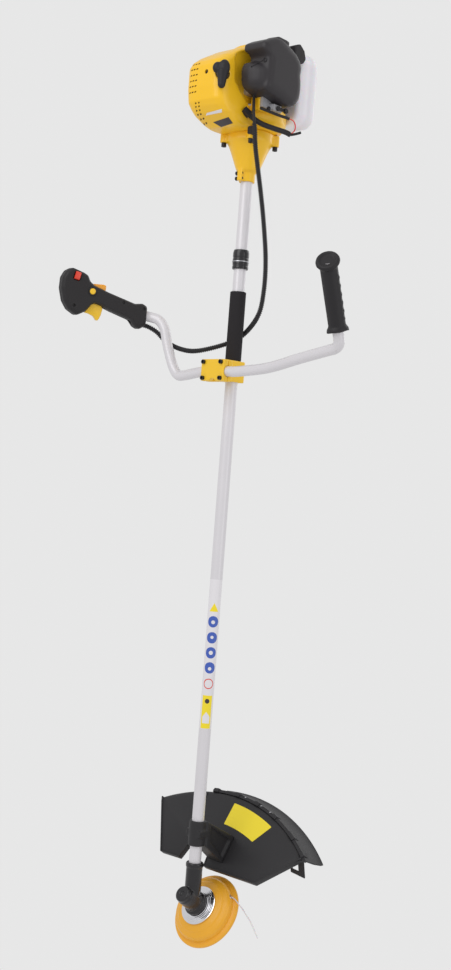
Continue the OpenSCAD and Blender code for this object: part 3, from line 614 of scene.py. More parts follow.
shroud_body = loft([plan(x0, x1, y0, -44 if z < 1750 else -30, r, z)
                    for z, x0, x1, y0, r in SHROUD_LEVELS])
RECESS = [(-110, 1752), (-104, 1764), (-90, 1774), (-40, 1782), (20, 1782), (20, 1636),
          (-42, 1646), (-53, 1659), (-65, 1671), (-91, 1690), (-100, 1700), (-108, 1706),
          (-110, 1745)]
PLUG_DIR = Vector((math.sin(math.radians(38)), -math.cos(math.radians(38)), 0))
PLUG_AT = Vector((0, -88, 1707))
slots = []
for row in range(6):
    for col in range(3):
        slots.append((-38 + col * 8 - row * 0.6, 1737 - row * 11.6, 5.5))
for k in range(6):
    for col in range(2):
        slots.append((-26 - 2.7 * k + col * 9, 1657 - 6 * k, 4.5))
# vent_painted_shade: black blocks at the bottoms of the vent slots and the round hole, painted
# shade standing in for the darkness inside them
vent_cuts, vent_painted_shade = [], []
for x, z, w in slots:
    shape = [(x, z), (x + w, z + 1), (x + w, z + 3.8), (x, z + 2.8)]
    y = front_y(x + w / 2, z + 2)
    vent_cuts.append(prism(shape, y - 6, y + 4, 1))
    vent_painted_shade.append(prism(shape, y + 1.4, y + 6, 1))
vent_cuts.append(rod((7.3, -160, 1718), (7.3, -146, 1718), 4.6, 20))
vent_painted_shade.append(rod((7.3, -150, 1718), (7.3, -145, 1718), 4.6, 20))
for row in range(6):
    vent_cuts.append(block(-70, -51, -136, -116, 1690 + row * 10, 1694 + row * 10))
shroud = moulded(
    "engine_shroud",
    [shroud_body],
    [prism(fillet(RECESS, 6, 3), 40, 70, 0),
     rod(PLUG_AT + PLUG_DIR * 44 + Vector((0, 0, 6)), PLUG_AT + PLUG_DIR * 90 + Vector((0, 0, 6)),
         13.6),
     block(-70, -44, -97, -37, 1671, 1761)],
    YELLOW, voxel=0.0019, rounds=4,
    stands_for=["cylinder_shroud"], fine_cuts=vent_cuts,
)


def joined(name, shapes, look, body="machine", matrix=STATION, smooth=40, stands_for=()):
    """Several closed shapes as one piece."""
    return add(name, *gathered(shapes), look, body, matrix, smooth, stands_for)


# Black inserts at the vent bottoms: painted shade for the dark inside the slots and the round hole
joined("shroud_vent_painted_shade", vent_painted_shade, BLACK)
shroud_skin = skin(shroud)


# ---------------------------------------------------------------- air cleaner cover
MAIN = [(-99, 1768), (-99, 1779), (-94, 1783), (-80, 1791), (-64, 1798), (-50, 1800), (-35, 1798),
        (-15, 1791),
        (4, 1782), (18, 1770), (24, 1756), (22, 1741), (25, 1722), (25, 1703), (22, 1688),
        (14, 1677), (3, 1671), (-8, 1670), (-24, 1672), (-40, 1677), (-60, 1681), (-84, 1688),
        (-84, 1755)]


def inset(outline, amount, mid=(-35, 1738)):
    out = []
    for y, z in outline:
        d = Vector((y - mid[0], z - mid[1]))
        out.append((mid[0] + d.x * (1 - amount / max(d.length, 1)),
                    mid[1] + d.y * (1 - amount / max(d.length, 1))))
    return out


def face(x, amount):
    return [(x, y, z) for y, z in fillet(inset(MAIN, amount), 7, 3)]


cover_body = loft([face(56, 0), face(106, 1), face(112, 3.5), face(116, 9), face(117.5, 18)])


def lobe(x, d):
    """A section of the rounded bulge at the cover's lower front."""
    return [(x, y, z) for y, z in fillet([(-105 + d, 1744 - d * 0.6), (-50 + d, 1752 - d * 0.6),
                                          (-50, 1688 + d * 0.4),
                                          (-100 + d, 1687 + d * 0.4)], [24, 6, 4, 24], 6)]


lobe_body = loft([lobe(57, 0), lobe(76, 1), lobe(88, 4), lobe(98, 9), lobe(107, 16), lobe(113, 24)])
cover = moulded(
    "air_cleaner_cover",
    [cover_body, lobe_body,
     prism(fillet([(-34, 1780), (26, 1766), (26, 1821), (-6, 1823), (-34, 1812)], 2, 2), 56, 70,
           0)],
    [prism(fillet([(-130, 1747), (-80, 1745), (-77, 1755), (-82, 1765), (-130, 1768)], 2, 2), 40,
           63, 0)],
    GREY, voxel=0.0016, rounds=9, stands_for=["filter_cover", "filter_base", "filter_foam"],
)
cover_skin = [skin(cover)]
groove = [seat(cover_skin, -9 + 27 * k / 8, 1770 + 17 * k / 8)[0] for k in range(9)]
groove = tube("cover_groove_tool", groove, 0.0022, GREY, 10)
data = groove.data.copy()
bpy.data.objects.remove(groove)
boolean(cover, in_scene("cover_groove_cutter", data))
shade(cover, 50)
at, normal = seat(cover_skin, 19.5, 1788)
screw_on("cover_screw", at - normal * 0.0012, normal, 5, DARK_STEEL)

# ---------------------------------------------------------------- tank and plug cap
TANK_SIDE = fillet([(-78, 1660), (-60, 1655), (60, 1655), (78, 1668), (79, 1790), (66, 1814),
                    (-60, 1814), (-78, 1796)], 22, 5)


def tank_ring(y, shrink):
    return [(x * (1 - shrink / 78), y, 1732 + (z - 1732) * (1 - shrink / 78)) for x, z in TANK_SIDE]


tank_body = loft([tank_ring(56, 7), tank_ring(58, 3), tank_ring(62, 0.5), tank_ring(76, 0),
                  tank_ring(88, 1.2), tank_ring(100, 0), tank_ring(111, 1), tank_ring(117, 5),
                  tank_ring(120, 12)])
moulded("tank_shell", [tank_body, rod((-82, 92, 1752), (-70, 92, 1752), 13, 32)],
               [rod((0, 0, 1600), (0, 0, 1674), 75, 60)],
               TANK, voxel=0.0022, rounds=4, stands_for=["fuel_tank"])

BOOT = STATION @ Matrix.Translation(PLUG_AT) @ Matrix.Rotation(math.pi / 2, 4, "X") @ \
    Matrix.Rotation(math.radians(38), 4, "Y")
moulded(
    "plug_cap",
    [rod((0, 6, 50), (0, 6, 74), 13, 28), ellipsoid((4, 14, 77), (12, 17, 10)),
     ellipsoid((-9, 14, 75), (11, 12, 9)), rod((2, 9, 77), (1, -18, 77), 12.5, 24, 8),
     ellipsoid((1, -20, 77), (8, 8, 8))],
    [], RUBBER, voxel=0.0012, rounds=5, matrix=BOOT, stands_for=["plug_boot"],
)

# ---------------------------------------------------------------- fan, clutch and starter covers
revolve("fan_cowl",
        fillet([(0, 1627.2), (50, 1627.2), (66, 1633), (74, 1646), (74, 1668), (70, 1668),
                            (0, 1668)], [1, 2, 6, 8, 1.5, 1, 1], 4),
        YELLOW, 96, matrix=STATION, stands_for=["fan_housing"])
front = [shroud_skin, skin(bpy.data.objects["fan_cowl"])]
decal("shroud_label_pale", [(-97.4, 1660.2), (-63.7, 1669.7), (-64.9, 1676.5), (-96, 1665.5)],
      front, PALE)
decal("shroud_label_dark", [(-63, 1638.1), (-38.6, 1648.2), (-49.2, 1660.5), (-80.9, 1647)], front,
      DARK_LABEL)
moulded("intake_cowl", [block(48, 74.5, -58, 12, 1656, 1686), block(48, 70, 0, 30, 1650, 1676)],
        [rod((66, -67, 1640), (66, -67, 1700), 8, 20)], YELLOW, voxel=0.0016, rounds=4)


def lathe(profile, steps=64):
    """Points and faces of an (r, z) outline turned about z."""
    return loft([[(r * math.cos(a), r * math.sin(a), z) for r, z in profile]
                 for a in (2 * math.pi * k / steps for k in range(steps + 1))])


def stack(levels, sides=48):
    """Points and faces of a solid of round sections (r, z), bottom to top."""
    return loft([[(r * math.cos(2 * math.pi * k / sides), r * math.sin(2 * math.pi * k / sides), z)
                  for k in range(sides)] for r, z in levels])


EAR_Z, FLANGE_Z, EAR_R = 1604, 1627, 54.5
ears = []
for k in range(4):
    a = math.radians(45 + 90 * k)
    u, v = Vector((math.cos(a), math.sin(a), 0)), Vector((-math.sin(a), math.cos(a), 0))
    c = u * EAR_R
    ears.append(rod(c + Vector((0, 0, EAR_Z)), c + Vector((0, 0, FLANGE_Z)), 8.5, 24))
    web = [u * 34 + v * 17, c + v * 8.5, c - v * 8.5, u * 34 - v * 17]
    ears.append(loft([[(p.x, p.y, EAR_Z + 3) for p in web], [(p.x, p.y, FLANGE_Z) for p in web]]))
    at = STATION @ (c + Vector((0, 0, EAR_Z)))
    screw_on(f"ear_screw_{k}", at + Vector((0, 0, 0.0005)), Vector((0, 0, -1)), 5.4, DARK_STEEL,
             h=9)
moulded("clutch_case",
        [stack([(17, 1523), (17, 1543), (22, 1546), (24, 1548), (27, 1555), (33, 1571),
                (39.5, 1588),
                (45, 1600), (49.5, 1606), (50, 1608), (50, 1627)], 64)] + ears +
        [block(-7, 7, -25, -12, 1524, 1548)],
        [rod((0, 0, 1500), (0, 0, 1552), SHAFT_R, 48), rod((0, 0, 1552), (0, 0, 1600), 18, 32, 38),
         rod((0, 0, 1599), (0, 0, 1640), 44, 48), block(-1, 1, -32, -13, 1510, 1549)],
        YELLOW, voxel=0.0013, rounds=3, stands_for=["clutch_housing"])
moulded("starter_cover",
                  [stack([(55, 1747), (55, 1792), (52, 1800), (45, 1805)], 72),
                   block(20, 66, 35, 52, 1762, 1779)],
                  [], YELLOW, voxel=0.002, rounds=3, stands_for=["starter_housing"],
                  fine_cuts=[loft([[(r * math.cos(math.radians(a + d)),
                                     r * math.sin(math.radians(a + d)), z)
                                    for r, d in ((16, -5), (40, -2.2), (40, 2.2), (16, 5))]
                                   for z in (1801, 1812)]) for a in range(0, 360, 20)])

moulded("pull_grip", [prism(fillet([(28, 1779), (54, 1779), (61, 1790), (55, 1806), (40, 1817),
                                    (27, 1812)], 3, 3), 62, 88, 0)],
        [], BLACK, voxel=0.0014, rounds=3, body="starter_grip", stands_for=["starter_handle"])
ROPE_ROUTE = [(-24, 43, 1770), (10, 43, 1770), (40, 43, 1770), (72, 43, 1770 + 32 * 0.4)]
tube("pull_rope", [STATION @ Vector(p) for p in ROPE_ROUTE], 0.002, WHITE, 12, "starter_grip")

# ---------------------------------------------------------------- tubes, cable and loom
LEFT_ROUTE = [(2, -48, 1115), (20, -48, 1115), (38, -48, 1115), (60, -48, 1115), (145, -50, 1122),
              (238, -62, 1139), (315, -76, 1151), (340, -81, 1155), (352, -86, 1164),
              (356, -97, 1187), (367, -155, 1306)]
RIGHT_ROUTE = [(-2, -48, 1115), (-20, -48, 1115), (-38, -48, 1115), (-62, -48, 1112),
               (-95, -48, 1107), (-115, -48, 1108), (-132, -49, 1128), (-148, -53, 1170),
               (-158, -57, 1208), (-172, -63, 1226), (-190, -72, 1232), (-202, -89, 1235),
               (-217, -124, 1243), (-231, -159, 1252)]
CABLE_ROUTE = [(64, -66, 1686.4), (65, -67, 1676), (73, -73, 1645), (73, -66, 1612),
               (67, -52, 1575),
               (60, -20, 1497), (60, -3, 1434), (62, 10, 1358), (60, 14, 1293), (46, 18, 1242),
               (2, 26, 1204), (-29, 12, 1183), (-84, -18, 1164), (-124, -30, 1165),
               (-164, -40, 1180), (-184, -54, 1201), (-196, -70, 1211), (-202, -85, 1214)]


def placed(points, steps):
    return [STATION @ p for p in catmull(points, steps)]


def even(line, pitch):
    """The line again with points a pitch apart."""
    out, carry = [line[0]], 0.0
    for a, b in zip(line, line[1:]):
        length = (b - a).length
        t = pitch - carry
        while t < length:
            out.append(a + (b - a) * (t / length))
            t += pitch
        carry = length - (t - pitch)
    out.append(line[-1])
    return out


tube("handlebar_left", placed(LEFT_ROUTE, 6), 0.011, SILVER, 32, stands_for=["handlebar_tubes"])
tube("handlebar_right", placed(RIGHT_ROUTE, 6), 0.011, SILVER, 32)
cable = even(placed(CABLE_ROUTE, 8), 0.0011)
sleeve_from = (1624 - EYELET.z) / 1000
thin = [p for p in cable if p.z >= sleeve_from]
thick = [p for p in cable if p.z < sleeve_from]
RIB = [0.0055, 0.0055, 0.0041, 0.0041]
tube("cable_inner", thin[::3] + [thick[3]], 0.0032, BLACK, 16, stands_for=["throttle_cable"])
tube("cable_conduit", thick, [RIB[i % 4] for i in range(len(thick))], RUBBER, 14, smooth=60)
moulded("cable_clip", [block(52, 70, -64, -60, 1606, 1622), block(50, 56, -64, -44, 1608, 1620)],
        [],
        BLACK, voxel=0.001, rounds=2)

LOOM_ROUTE = [(54, -73, 1650), (58, -62, 1641), (68, -43, 1631), (80, -14, 1626), (90, 10, 1623),
              (96, 20, 1619)]
LEAD_ROUTE = [(82, -64, 1656), (98, -32, 1649), (110, -4, 1645)]
WIRE_ROUTE = [(110, -3.5, 1645), (114, 6, 1642), (113, 14, 1634), (107, 19, 1626), (96, 18.5, 1620)]
tube("loom_sleeve", placed(LOOM_ROUTE, 6), 0.0055, BLACK, 20, stands_for=["wire_loom"])
tube("loom_end", placed([(49, -79, 1654), (56, -66, 1644)], 2), 0.0085, BLACK, 4)
tube("lead_sleeve", placed(LEAD_ROUTE, 6), 0.003, BLACK, 14)
tube("lead_nub", placed([(90, -50, 1657), (91, -46, 1657)], 2), 0.005, BLACK, 12)
tube("wire_red", placed(WIRE_ROUTE, 8), 0.0012, RED, 10)
tube("wire_white", placed([(x - 2.6, y - 1, z + 0.4) for x, y, z in WIRE_ROUTE], 8), 0.0014, WHITE,
     10)
tube("loom_tail", placed([(96, 20, 1619), (104, 28, 1622), (110, 36, 1626)], 4), 0.0028, BLACK, 12)


# ---------------------------------------------------------------- left grip
GRIP_END = Vector((367, -155, 1306))
GRIP_DIR = Vector((11, -58, 119)).normalized()
facing = (toward - GRIP_DIR * toward.dot(GRIP_DIR)).normalized()
grip_side = GRIP_DIR.cross(facing).normalized()
if grip_side.dot(level) < 0:
    grip_side = -grip_side


def leaning(across, degrees):
    """The grip's direction turned towards across."""
    t = math.radians(degrees)
    return (GRIP_DIR * math.cos(t) + across * math.sin(t)).normalized()


cup = leaning((facing - level * 0.25).normalized(), 34)
foot = leaning(-facing, 14)
rib_dir = (grip_side * 0.86 + facing * 0.5).normalized()
rib_across = GRIP_DIR.cross(grip_side * 0.86 + facing * 0.5).normalized()
base = GRIP_END - GRIP_DIR * 134
ribs = []
for k in range(11):
    rib_at = GRIP_END - GRIP_DIR * (26 + 8.2 * k) + rib_dir * 16.2
    slant = (rib_across * 0.8 + GRIP_DIR * (0.6 if k % 2 else -0.6)).normalized()
    ribs.append(rod(rib_at - slant * 6, rib_at + slant * 6, 1.9, 10))
moulded("left_grip_sleeve",
        [rod(base, GRIP_END + GRIP_DIR * 2, 17, 40),
         rod(GRIP_END - cup * 7, GRIP_END + cup * 2, 18, 44, 24),
         rod(GRIP_END + cup * 2, GRIP_END + cup * 8, 24, 44, 21.5),
         rod(base - foot * 2, base + foot * 5, 22, 40, 21),
         rod(base + foot * 5, base + foot * 12, 21, 40, 16)] + ribs,
        [rod(GRIP_END + cup * 5.4, GRIP_END + cup * 12, 15, 32, 17.5),
         rod(base - foot * 12, base + GRIP_DIR * 6, 11.2, 32)],
        RUBBER, voxel=0.0013, rounds=2, stands_for=["left_grip"])

revolve("foam_sleeve",
        fillet([(13, 1143), (17, 1143), (17, 1290), (13, 1290)], [0.5, 4, 4, 0.5], 5),
        FOAM, 64, matrix=STATION, stands_for=["foam_grip"])
for name, band in (("lower", [(13, 1338), (16.6, 1338), (17.2, 1340), (17.2, 1344), (16.6, 1345),
                              (16.6, 1347),
                              (17.2, 1348), (17.2, 1353), (13, 1353)]),
                   ("upper", [(13, 1355), (17.2, 1355), (17.2, 1360), (16.5, 1361), (16.5, 1363),
                              (17.2, 1364),
                              (17.2, 1373), (15.8, 1379), (13, 1379)])):
    revolve(f"hanger_{name}", fillet(band, 0.5, 2), PAINT, 64, matrix=STATION,
            stands_for=["harness_clamp"] if name == "lower" else ())

# ---------------------------------------------------------------- handlebar clamp
moulded("bar_saddle_cap", [block(-33, 33, -62, -48.3, 1094, 1140)],
        [rod((-50, BAR_Y, BAR_Z), (50, BAR_Y, BAR_Z), BAR_BORE, 40),
         rod((-40, -66, 1090), (-40, -40, 1090), 9, 24),
         rod((0, -66, 1086), (0, -40, 1086), 13, 32)],
        YELLOW2, voxel=0.0012, rounds=4, stands_for=["bar_cap"])
moulded("bar_saddle", [block(-33, 33, -47.7, -35, 1094, 1140), block(-19, 19, -40, 19, 1097, 1142),
                       rod((0, 0, 1097), (0, 0, 1142), 19, 48)],
        [rod((-50, BAR_Y, BAR_Z), (50, BAR_Y, BAR_Z), BAR_BORE, 40),
         rod((0, 0, 1090), (0, 0, 1150), SHAFT_R, 48)],
        YELLOW2, voxel=0.0012, rounds=4, stands_for=["bar_bracket"])

# ---------------------------------------------------------------- control handle
HEAD_EDGE = [(34, 25), (80, 21.6), (98, 19.3), (110, 17), (125, 19), (134, 39.5), (152, 55),
             (173, 48.5), (188, 34.7), (201, 10), (205.5, -13), (201.5, -28.7), (190, -39.7),
             (162, -37.6), (152, -35), (144, -25), (133, -19.7), (97, -16), (33, -12.6),
             (17.5, -18.8),
             (5, -15.8), (-4, 24.4), (9.5, 38.2), (21, 35)]
EDGE = fillet(HEAD_EDGE, 9, 4)
BORE = rod((-20, 4, 0), (98, 4, 0), 11.4, 36)
LOCK_AT = (135.4, -5)
for side, sign in (("near", 1), ("far", -1)):
    body = loft([[(x, y, sign * z) for x, y in offset(EDGE, d)]
                 for z, d in ((0.35, 0.4), (9, 0), (14, 1.6), (17.5, 4.5), (19, 8.5))])
    cuts = [BORE, block(93, 141, 17, 62, -7.5, 7.5), block(98, 143, -36, -1, -7, 7),
            rod((-30, 24, 0), (34, 24, 0), 6, 20)]
    if sign > 0:
        cuts += [rod((*LOCK_AT, 4), (*LOCK_AT, 30), 7.4, 32), block(169.8, 183.8, -35, -16, 12, 30)]
    moulded(f"handle_{side}", [body], cuts, BLACK, voxel=0.0013, rounds=2, matrix=HANDLE,
            stands_for=["handle_shell_left" if sign > 0 else "handle_shell_right"],
            fine_cuts=[rod((x, y, sign * 16), (x, y, sign * 24), 3.4, 20) for x,
                       y in ((14, -8), (165, 36), (62, -6))])
joined("lock_collar", [lathe([(7, 15), (9.4, 15), (9.4, 20.2), (8.6, 21), (7, 21)], 40)], BLACK,
       matrix=HANDLE @ Matrix.Translation((*LOCK_AT, 0)))
revolve("lock_push", fillet([(0, 11), (6.4, 11), (6.4, 22.2), (0, 23)], [0.1, 0.5, 1.6, 0.1], 4),
        YELLOW2, 40,
        "button", HANDLE @ Matrix.Translation((*LOCK_AT, 0)), stands_for=["lock_button"])
TRIGGER = [(136, 18), (128, 15), (104, 16), (99, 22), (98.5, 36), (100, 44), (102, 49.4), (105, 49),
           (108, 46), (112, 43.4), (117, 42), (126, 41), (134, 42), (137, 30)]
slab("trigger_blade", fillet(TRIGGER, 4, 3), -7, 7, YELLOW2, 0.0018, 3, "trigger", HANDLE,
     ["throttle_trigger"])
LOCKOUT = [(138, -9), (130, -9), (112, -12), (104, -18), (106, -28), (112, -28.5), (133, -23),
           (139, -17)]
slab("lockout_blade", fillet(LOCKOUT, 2, 3), -5.5, 5.5, LOCK, 0.0013, 3, "lockout", HANDLE,
     ["throttle_lockout"])
rocker = [(z, 19 + 4.3 * math.sqrt(max(0, 1 - (z / 8.5) ** 2)) + 0.9 * abs(z) / 8.5) for z in
          [-8.5 + 17 * k / 12 for k in range(13)]]
AXES_TURNED = Matrix(((0, 0, 1, 0), (1, 0, 0, 0), (0, 1, 0, 0), (0, 0, 0, 1)))
slab("stop_rocker", [(8.5, 15.4), (-8.5, 15.4)] + rocker, -5.8, 5.8, RED, 0.0009, 2, "switch",
     HANDLE @ Matrix.Translation((176.8, -25.6, 0)) @ AXES_TURNED, ["stop_switch"])

# ---------------------------------------------------------------- tube stickers
FACE_TURN = math.atan2(toward.y, toward.x)


def on_tube(name, outline, mid, look, rings=4, r=13.12):
    """A label wrapped on the shaft: outline points are (arc mm, z) about the middle (arc mm, z)."""
    def at(a, z):
        t = FACE_TURN + (a + mid[0]) / r
        return (r * math.cos(t), r * math.sin(t), z + mid[1])
    n = len(outline)
    verts = [at(0, 0)]
    for k in range(1, rings + 1):
        verts += [at(a * k / rings, z * k / rings) for a, z in outline]
    faces = [(0, 1 + i, 1 + (i + 1) % n) for i in range(n)]
    for k in range(rings - 1):
        b = 1 + k * n
        faces += [(b + i, b + n + i, b + n + (i + 1) % n, b + (i + 1) % n) for i in range(n)]
    return thickened(add(name, verts, faces, look, matrix=STATION))


def dense(outline, per=6):
    """The outline with per points on each side, so that it can follow the tube."""
    out = []
    for i in range(len(outline)):
        a, b = Vector(outline[i]), Vector(outline[(i + 1) % len(outline)])
        out += [tuple(a + (b - a) * k / per) for k in range(per)]
    return out


def disc(r, n=32):
    return [(r * math.cos(2 * math.pi * k / n),
             r * math.sin(2 * math.pi * k / n)) for k in range(n)]


revolve("sticker_sleeve", [(13, 359), (13.07, 359), (13.07, 677), (13, 677)], PALE, 64,
        matrix=STATION)
on_tube("sticker_triangle", dense([(-10, -8.5), (10, -8.5), (0, 9.5)]), (0, 617), YELLOW_LABEL)
for i, z in enumerate((587, 553, 521, 489)):
    on_tube(f"sticker_disc_{i}", disc(12), (0, z), BLUE)
    on_tube(f"sticker_dot_{i}", disc((4, 3.4, 4.4, 3.7)[i], 20), (0, z + (-1, 1, 0, -2)[i]), PALE,
            2, 13.3)
on_tube("sticker_ring", disc(11), (0, 455), RED)
on_tube("sticker_ring_pale", disc(9), (0, 455), PALE, 3, 13.3)
on_tube("sticker_block", dense([(-11, -35), (11, -35), (11, 35), (-11, 35)], 8), (0, 395),
        YELLOW_LABEL)
on_tube("sticker_block_panel", dense([(-8, -24), (8, -24), (8, -10), (-8, -10)], 6), (0, 395), PALE,
        3, 13.3)
on_tube("sticker_block_mark", disc(5, 20), (0, 418), DARK_LABEL, 2, 13.3)

# ---------------------------------------------------------------- guard
ARC = Vector((-40, -145, 0))
AT_ARC = SPIN @ Matrix.Translation(ARC)


def polar(r, degrees, n=0.0):
    """A point in the head's frame at radius r about the guard's arc centre."""
    a = math.radians(degrees)
    return (ARC.x + r * math.cos(a), ARC.y + r * math.sin(a), n)


GUARD_TOP = -14
plate = [polar(383, a)[:2] for a in np.linspace(51.4, 118.6, 40)]
plate += [(-224, 184), (-160, 80), (-103, 81), (-93, 115), (-30, 115), (-26, 79), (122, 79)]
slab("guard_plate", plate, -17, GUARD_TOP, GUARD, 0.0009, 2, "machine", SPIN, ["guard"], smooth=30)
SHOULDER = [(381, -14), (388, -15), (393, -18), (395, -23), (395, -31), (392.4, -31), (392.2, -23),
            (390, -19.6),
            (387, -17.6), (381, -17)]
revolve("guard_shoulder", SHOULDER, GUARD, 90, "machine", AT_ARC, 60, turn=(50.4, 119.4))


def wall(name, points, t, n0, n1, look=GUARD, body="machine"):
    """An upright band of thickness t along (x, y) points in the head's frame."""
    sections = []
    for i, p in enumerate(points):
        a, b = Vector(points[max(i - 1, 0)]), Vector(points[min(i + 1, len(points) - 1)])
        d = (b - a).normalized()
        q = (p[0] - d.y * t, p[1] + d.x * t)
        sections.append([(p[0], p[1], n0), (p[0], p[1], n1), (q[0], q[1], n1), (q[0], q[1], n0)])
    obj = joined(name, [loft(sections)], look, body, SPIN)
    beveled(obj, 0.0007, 2, smooth=40)
    return obj


right_end = polar(394, 50.6)[:2]
left_end = polar(394, 119.2)[:2]
wall("guard_wall_front", [(-26, 79), (122, 79), right_end], 3, -27, -12.6)
wall("guard_wall_left", [left_end, (-224, 184), (-160, 80), (-103, 81), (-93, 115)], 3, -27, -12.6)
wall("guard_wall_notch", [(-93, 115), (-30, 115), (-26, 79)], 2.5, -24, -12.8)
wall("guard_fold", [(-93, 115), (-104, 170), polar(388, 100)[:2]], 2.2, -15, -12.9)
label_shape = [polar(377, a)[:2] for a in np.linspace(67.9, 87.2, 14)] + \
    [polar(326, a)[:2] for a in np.linspace(87.2, 70.2, 14)]
slab("guard_label", fillet(label_shape, 1.5, 2), GUARD_TOP, GUARD_TOP + 0.4, YELLOW_LABEL,
     matrix=SPIN)
FLARE = [(396.3, -18), (396.6, -16), (399.4, -16), (400.4, -22), (407, -44), (415, -60),
         (417.6, -62), (414.6, -62),
         (412, -60), (404, -44), (397.4, -22)]
revolve("guard_skirt", FLARE, GUARD, 80, "machine", AT_ARC, 50, turn=(49.5, 98.5),
        stands_for=["guard_extension"])
revolve("guard_skirt_flange", [(393, -26), (393, -15.4), (398, -15.4), (398, -26)], GUARD, 80,
        "machine", AT_ARC, 50,
        turn=(50, 98.4))
for i, a in enumerate((52, 60.5, 70, 79, 88, 97)):
    lug = [(393, -30), (393, -13), (401.5, -13), (403, -30)]
    obj = revolve(f"guard_lug_{i}", lug, GUARD, 4, "machine", AT_ARC, 40,
                  turn=(a - (2.2 if i == 1 else 1), a + 1))
    beveled(obj, 0.001, 2)
for i, a in enumerate((84.5, 77, 72.5)):
    joined(f"guard_rivet_{i}", [rod(polar(398, a, -17), polar(398, a, -14.6), 2, 16, 1.4)], STEEL,
           matrix=SPIN)
KNIFE = SPIN @ Matrix(((1, 0, 0, 0), (0, -0.7071, 0.7071, 158), (0, -0.7071, -0.7071, -31),
                       (0, 0, 0, 1)))
slab("knife_blade", fillet([(190, -8), (206, -8), (206, 36), (168, 31), (168, 16), (173, 16),
                            (173, 22), (190, 24)], 0.6, 1),
     -1.1, 1.1, DARK_STEEL, 0.0003, 1, matrix=KNIFE, stands_for=["line_knife"])


def spin_yz(e, n):
    """(y, z) station of a point in the head's frame."""
    p = TO_SPIN @ Vector((0, e, n))
    return (p.y, p.z)


arm = [(10, 109), (10, 162), spin_yz(160, -10), spin_yz(160, -14), spin_yz(98, -14),
       spin_yz(98, -10)]
pocket = [(22, 118), (22, 150), spin_yz(148, -5), spin_yz(108, -5)]
moulded("guard_clamp", [rod((0, 0, 109), (0, 0, 162), 18, 48), prism(arm, -20, 20, 0),
                        block(-20, 20, -14, 8, 128, 143)],
        [prism(pocket, -24, -15, 0), prism(pocket, 15, 24, 0),
         rod((0, 0, 100), (0, 0, 170), SHAFT_R, 48)],
        GUARD, voxel=0.0013, rounds=2, stands_for=["guard_bracket"])

# ---------------------------------------------------------------- gear head and line head
lug_turn = Matrix.Rotation(math.radians(133), 4, "Z")
moulded("gear_case",
        [rod((0, 0, 4), (0, 0, 73), 17.5, 48), rod((0, 0, 64), (0, 0, 71), 19, 48),
         moved(stack([(26, -18), (26, -11), (20, -8), (19, 28), (17.4, 30), (17.4, 36), (15.5, 39)],
                     56), TO_SPIN),
         moved(block(8, 25, -9, 9, 55, 72), lug_turn)],
        [rod((0, 0, 40), (0, 0, 90), SHAFT_R, 48),
         moved(rod((0, 0, -30), (0, 0, -8), 10, 32), TO_SPIN),
         moved(rod((0, 0, 36), (0, 0, 44), 6.5, 6), TO_SPIN),
         moved(block(10, 30, -1, 1, 40, 90), lug_turn)],
        PAINT, voxel=0.0012, rounds=2, stands_for=["gearcase"])
ADAPTER = [(5.2, -18.6), (27, -18.6), (28, -19.6), (30, -19.6), (30.5, -21), (33, -21),
           (33.6, -22.4), (36.4, -22.4),
           (37, -23.6), (40, -23.6), (42, -24.4), (42, -27), (38, -27.1), (5.2, -27.1)]
revolve("head_adapter", ADAPTER, CHROME, 96, "head", SPIN, 25, ["adapter_ring"])
HEAD = [(5, -27.2), (40, -27.2), (55, -31), (58, -34), (66, -37.5), (69, -42), (70, -53), (78, -54),
        (80, -56),
        (80, -61), (77.5, -61), (77.5, -57), (67, -56), (66, -43), (63, -40), (56, -37), (53, -34),
        (39, -30.5), (12, -30.5), (12, -58), (5, -58)]
revolve("head_shell", fillet(HEAD, 0.9, 2), ORANGE, 120, "head", SPIN, 32, ["head_housing"])
COVER = [(30, -76), (34, -76), (62, -72), (75, -64), (77, -61.2), (77, -57.3), (75, -57.3),
         (74, -61.2),
         (72, -63), (60, -69), (34, -73), (30, -73)]
revolve("head_base", fillet(COVER, 0.8, 2), ORANGE, 120, "head", SPIN, 32, ["head_cover"])
for i, a in enumerate((40, 220)):
    u = Vector((math.cos(math.radians(a)), math.sin(math.radians(a)), 0))
    joined(f"head_eyelet_{i}",
           [moved(lathe([(2, -3), (5, -3), (5.6, 1.4), (4.6, 2.4), (2, 2.4)], 28),
                                      Matrix.Translation(u * 67.5 + Vector((0, 0, -48)))
                                      @ u.to_track_quat("Z", "Y").to_matrix().to_4x4())], STEEL,
                                      "head", SPIN)
KNOB = [(0, -94), (16, -94), (19, -92.5), (20, -90), (20, -85), (24, -83), (25, -81), (25, -74.3),
        (0, -74.3)]
revolve("bump_button", fillet(KNOB, 0.8, 2), BLACK, 64, "bump", SPIN, 32, ["bump_knob"])

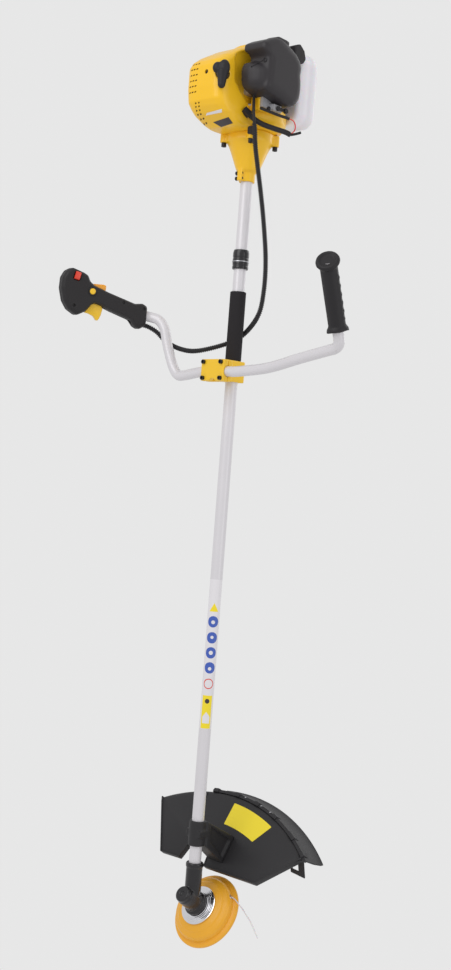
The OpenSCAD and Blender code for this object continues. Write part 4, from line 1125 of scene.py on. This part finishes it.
# ---------------------------------------------------------------- stage
FLOOR_Z = cad_box[0][2] - 0.45
HALF = 0.75
AMBIENT = 0.68
BACKDROP = 1.0
data = bpy.data.meshes.new("floor")
corners = ((-HALF, -HALF), (HALF, -HALF), (HALF, HALF), (-HALF, HALF))
data.from_pydata([(x, y, FLOOR_Z) for x, y in corners], [], [(0, 1, 2, 3)])
floor = in_scene("floor", data)
floor_look = bpy.data.materials.new("floor_pale")
floor_look.use_nodes = True
floor_shader = floor_look.node_tree.nodes["Principled BSDF"]
floor_shader.inputs["Base Color"].default_value = (0.9, 0.9, 0.9, 1)
floor_shader.inputs["Roughness"].default_value = 0.9
floor.data.materials.append(floor_look)

world = bpy.data.worlds.new("studio")
world.use_nodes = True
wt = world.node_tree
wt.nodes["Background"].inputs["Color"].default_value = (1, 1, 1, 1)
wt.nodes["Background"].inputs["Strength"].default_value = AMBIENT
seen = wt.nodes.new("ShaderNodeBackground")
seen.inputs["Strength"].default_value = BACKDROP
ray = wt.nodes.new("ShaderNodeLightPath")
pick = wt.nodes.new("ShaderNodeMixShader")
wt.links.new(ray.outputs["Is Camera Ray"], pick.inputs[0])
wt.links.new(wt.nodes["Background"].outputs[0], pick.inputs[1])
wt.links.new(seen.outputs[0], pick.inputs[2])
wt.links.new(pick.outputs[0], wt.nodes["World Output"].inputs["Surface"])
bpy.context.scene.world = world
bpy.context.scene.view_settings.view_transform = "Standard"

OBJECT_MID = Vector([(a + b) / 2 for a, b in zip(*cad_box)])


def light(name, direction, distance, size, power):
    lamp = bpy.data.lights.new(name, "AREA")
    lamp.shape = "RECTANGLE"
    lamp.size, lamp.size_y = size
    lamp.energy = power
    obj = in_scene(name, lamp)
    heading = Vector(direction).normalized()
    obj.location = OBJECT_MID + heading * distance
    obj.rotation_euler = heading.to_track_quat("Z", "Y").to_euler()


light("key", toward * 1.0 + level * -0.9 + Vector((0, 0, 0.9)), 2.6, (1.6, 2.2), 21)
light("fill", toward * 1.0 + level * 1.3 + Vector((0, 0, 0.2)), 2.8, (1.4, 2.4), 9)
light("rim", toward * -0.8 + level * 0.9 + Vector((0, 0, 0.7)), 2.6, (1.2, 2.0), 10)
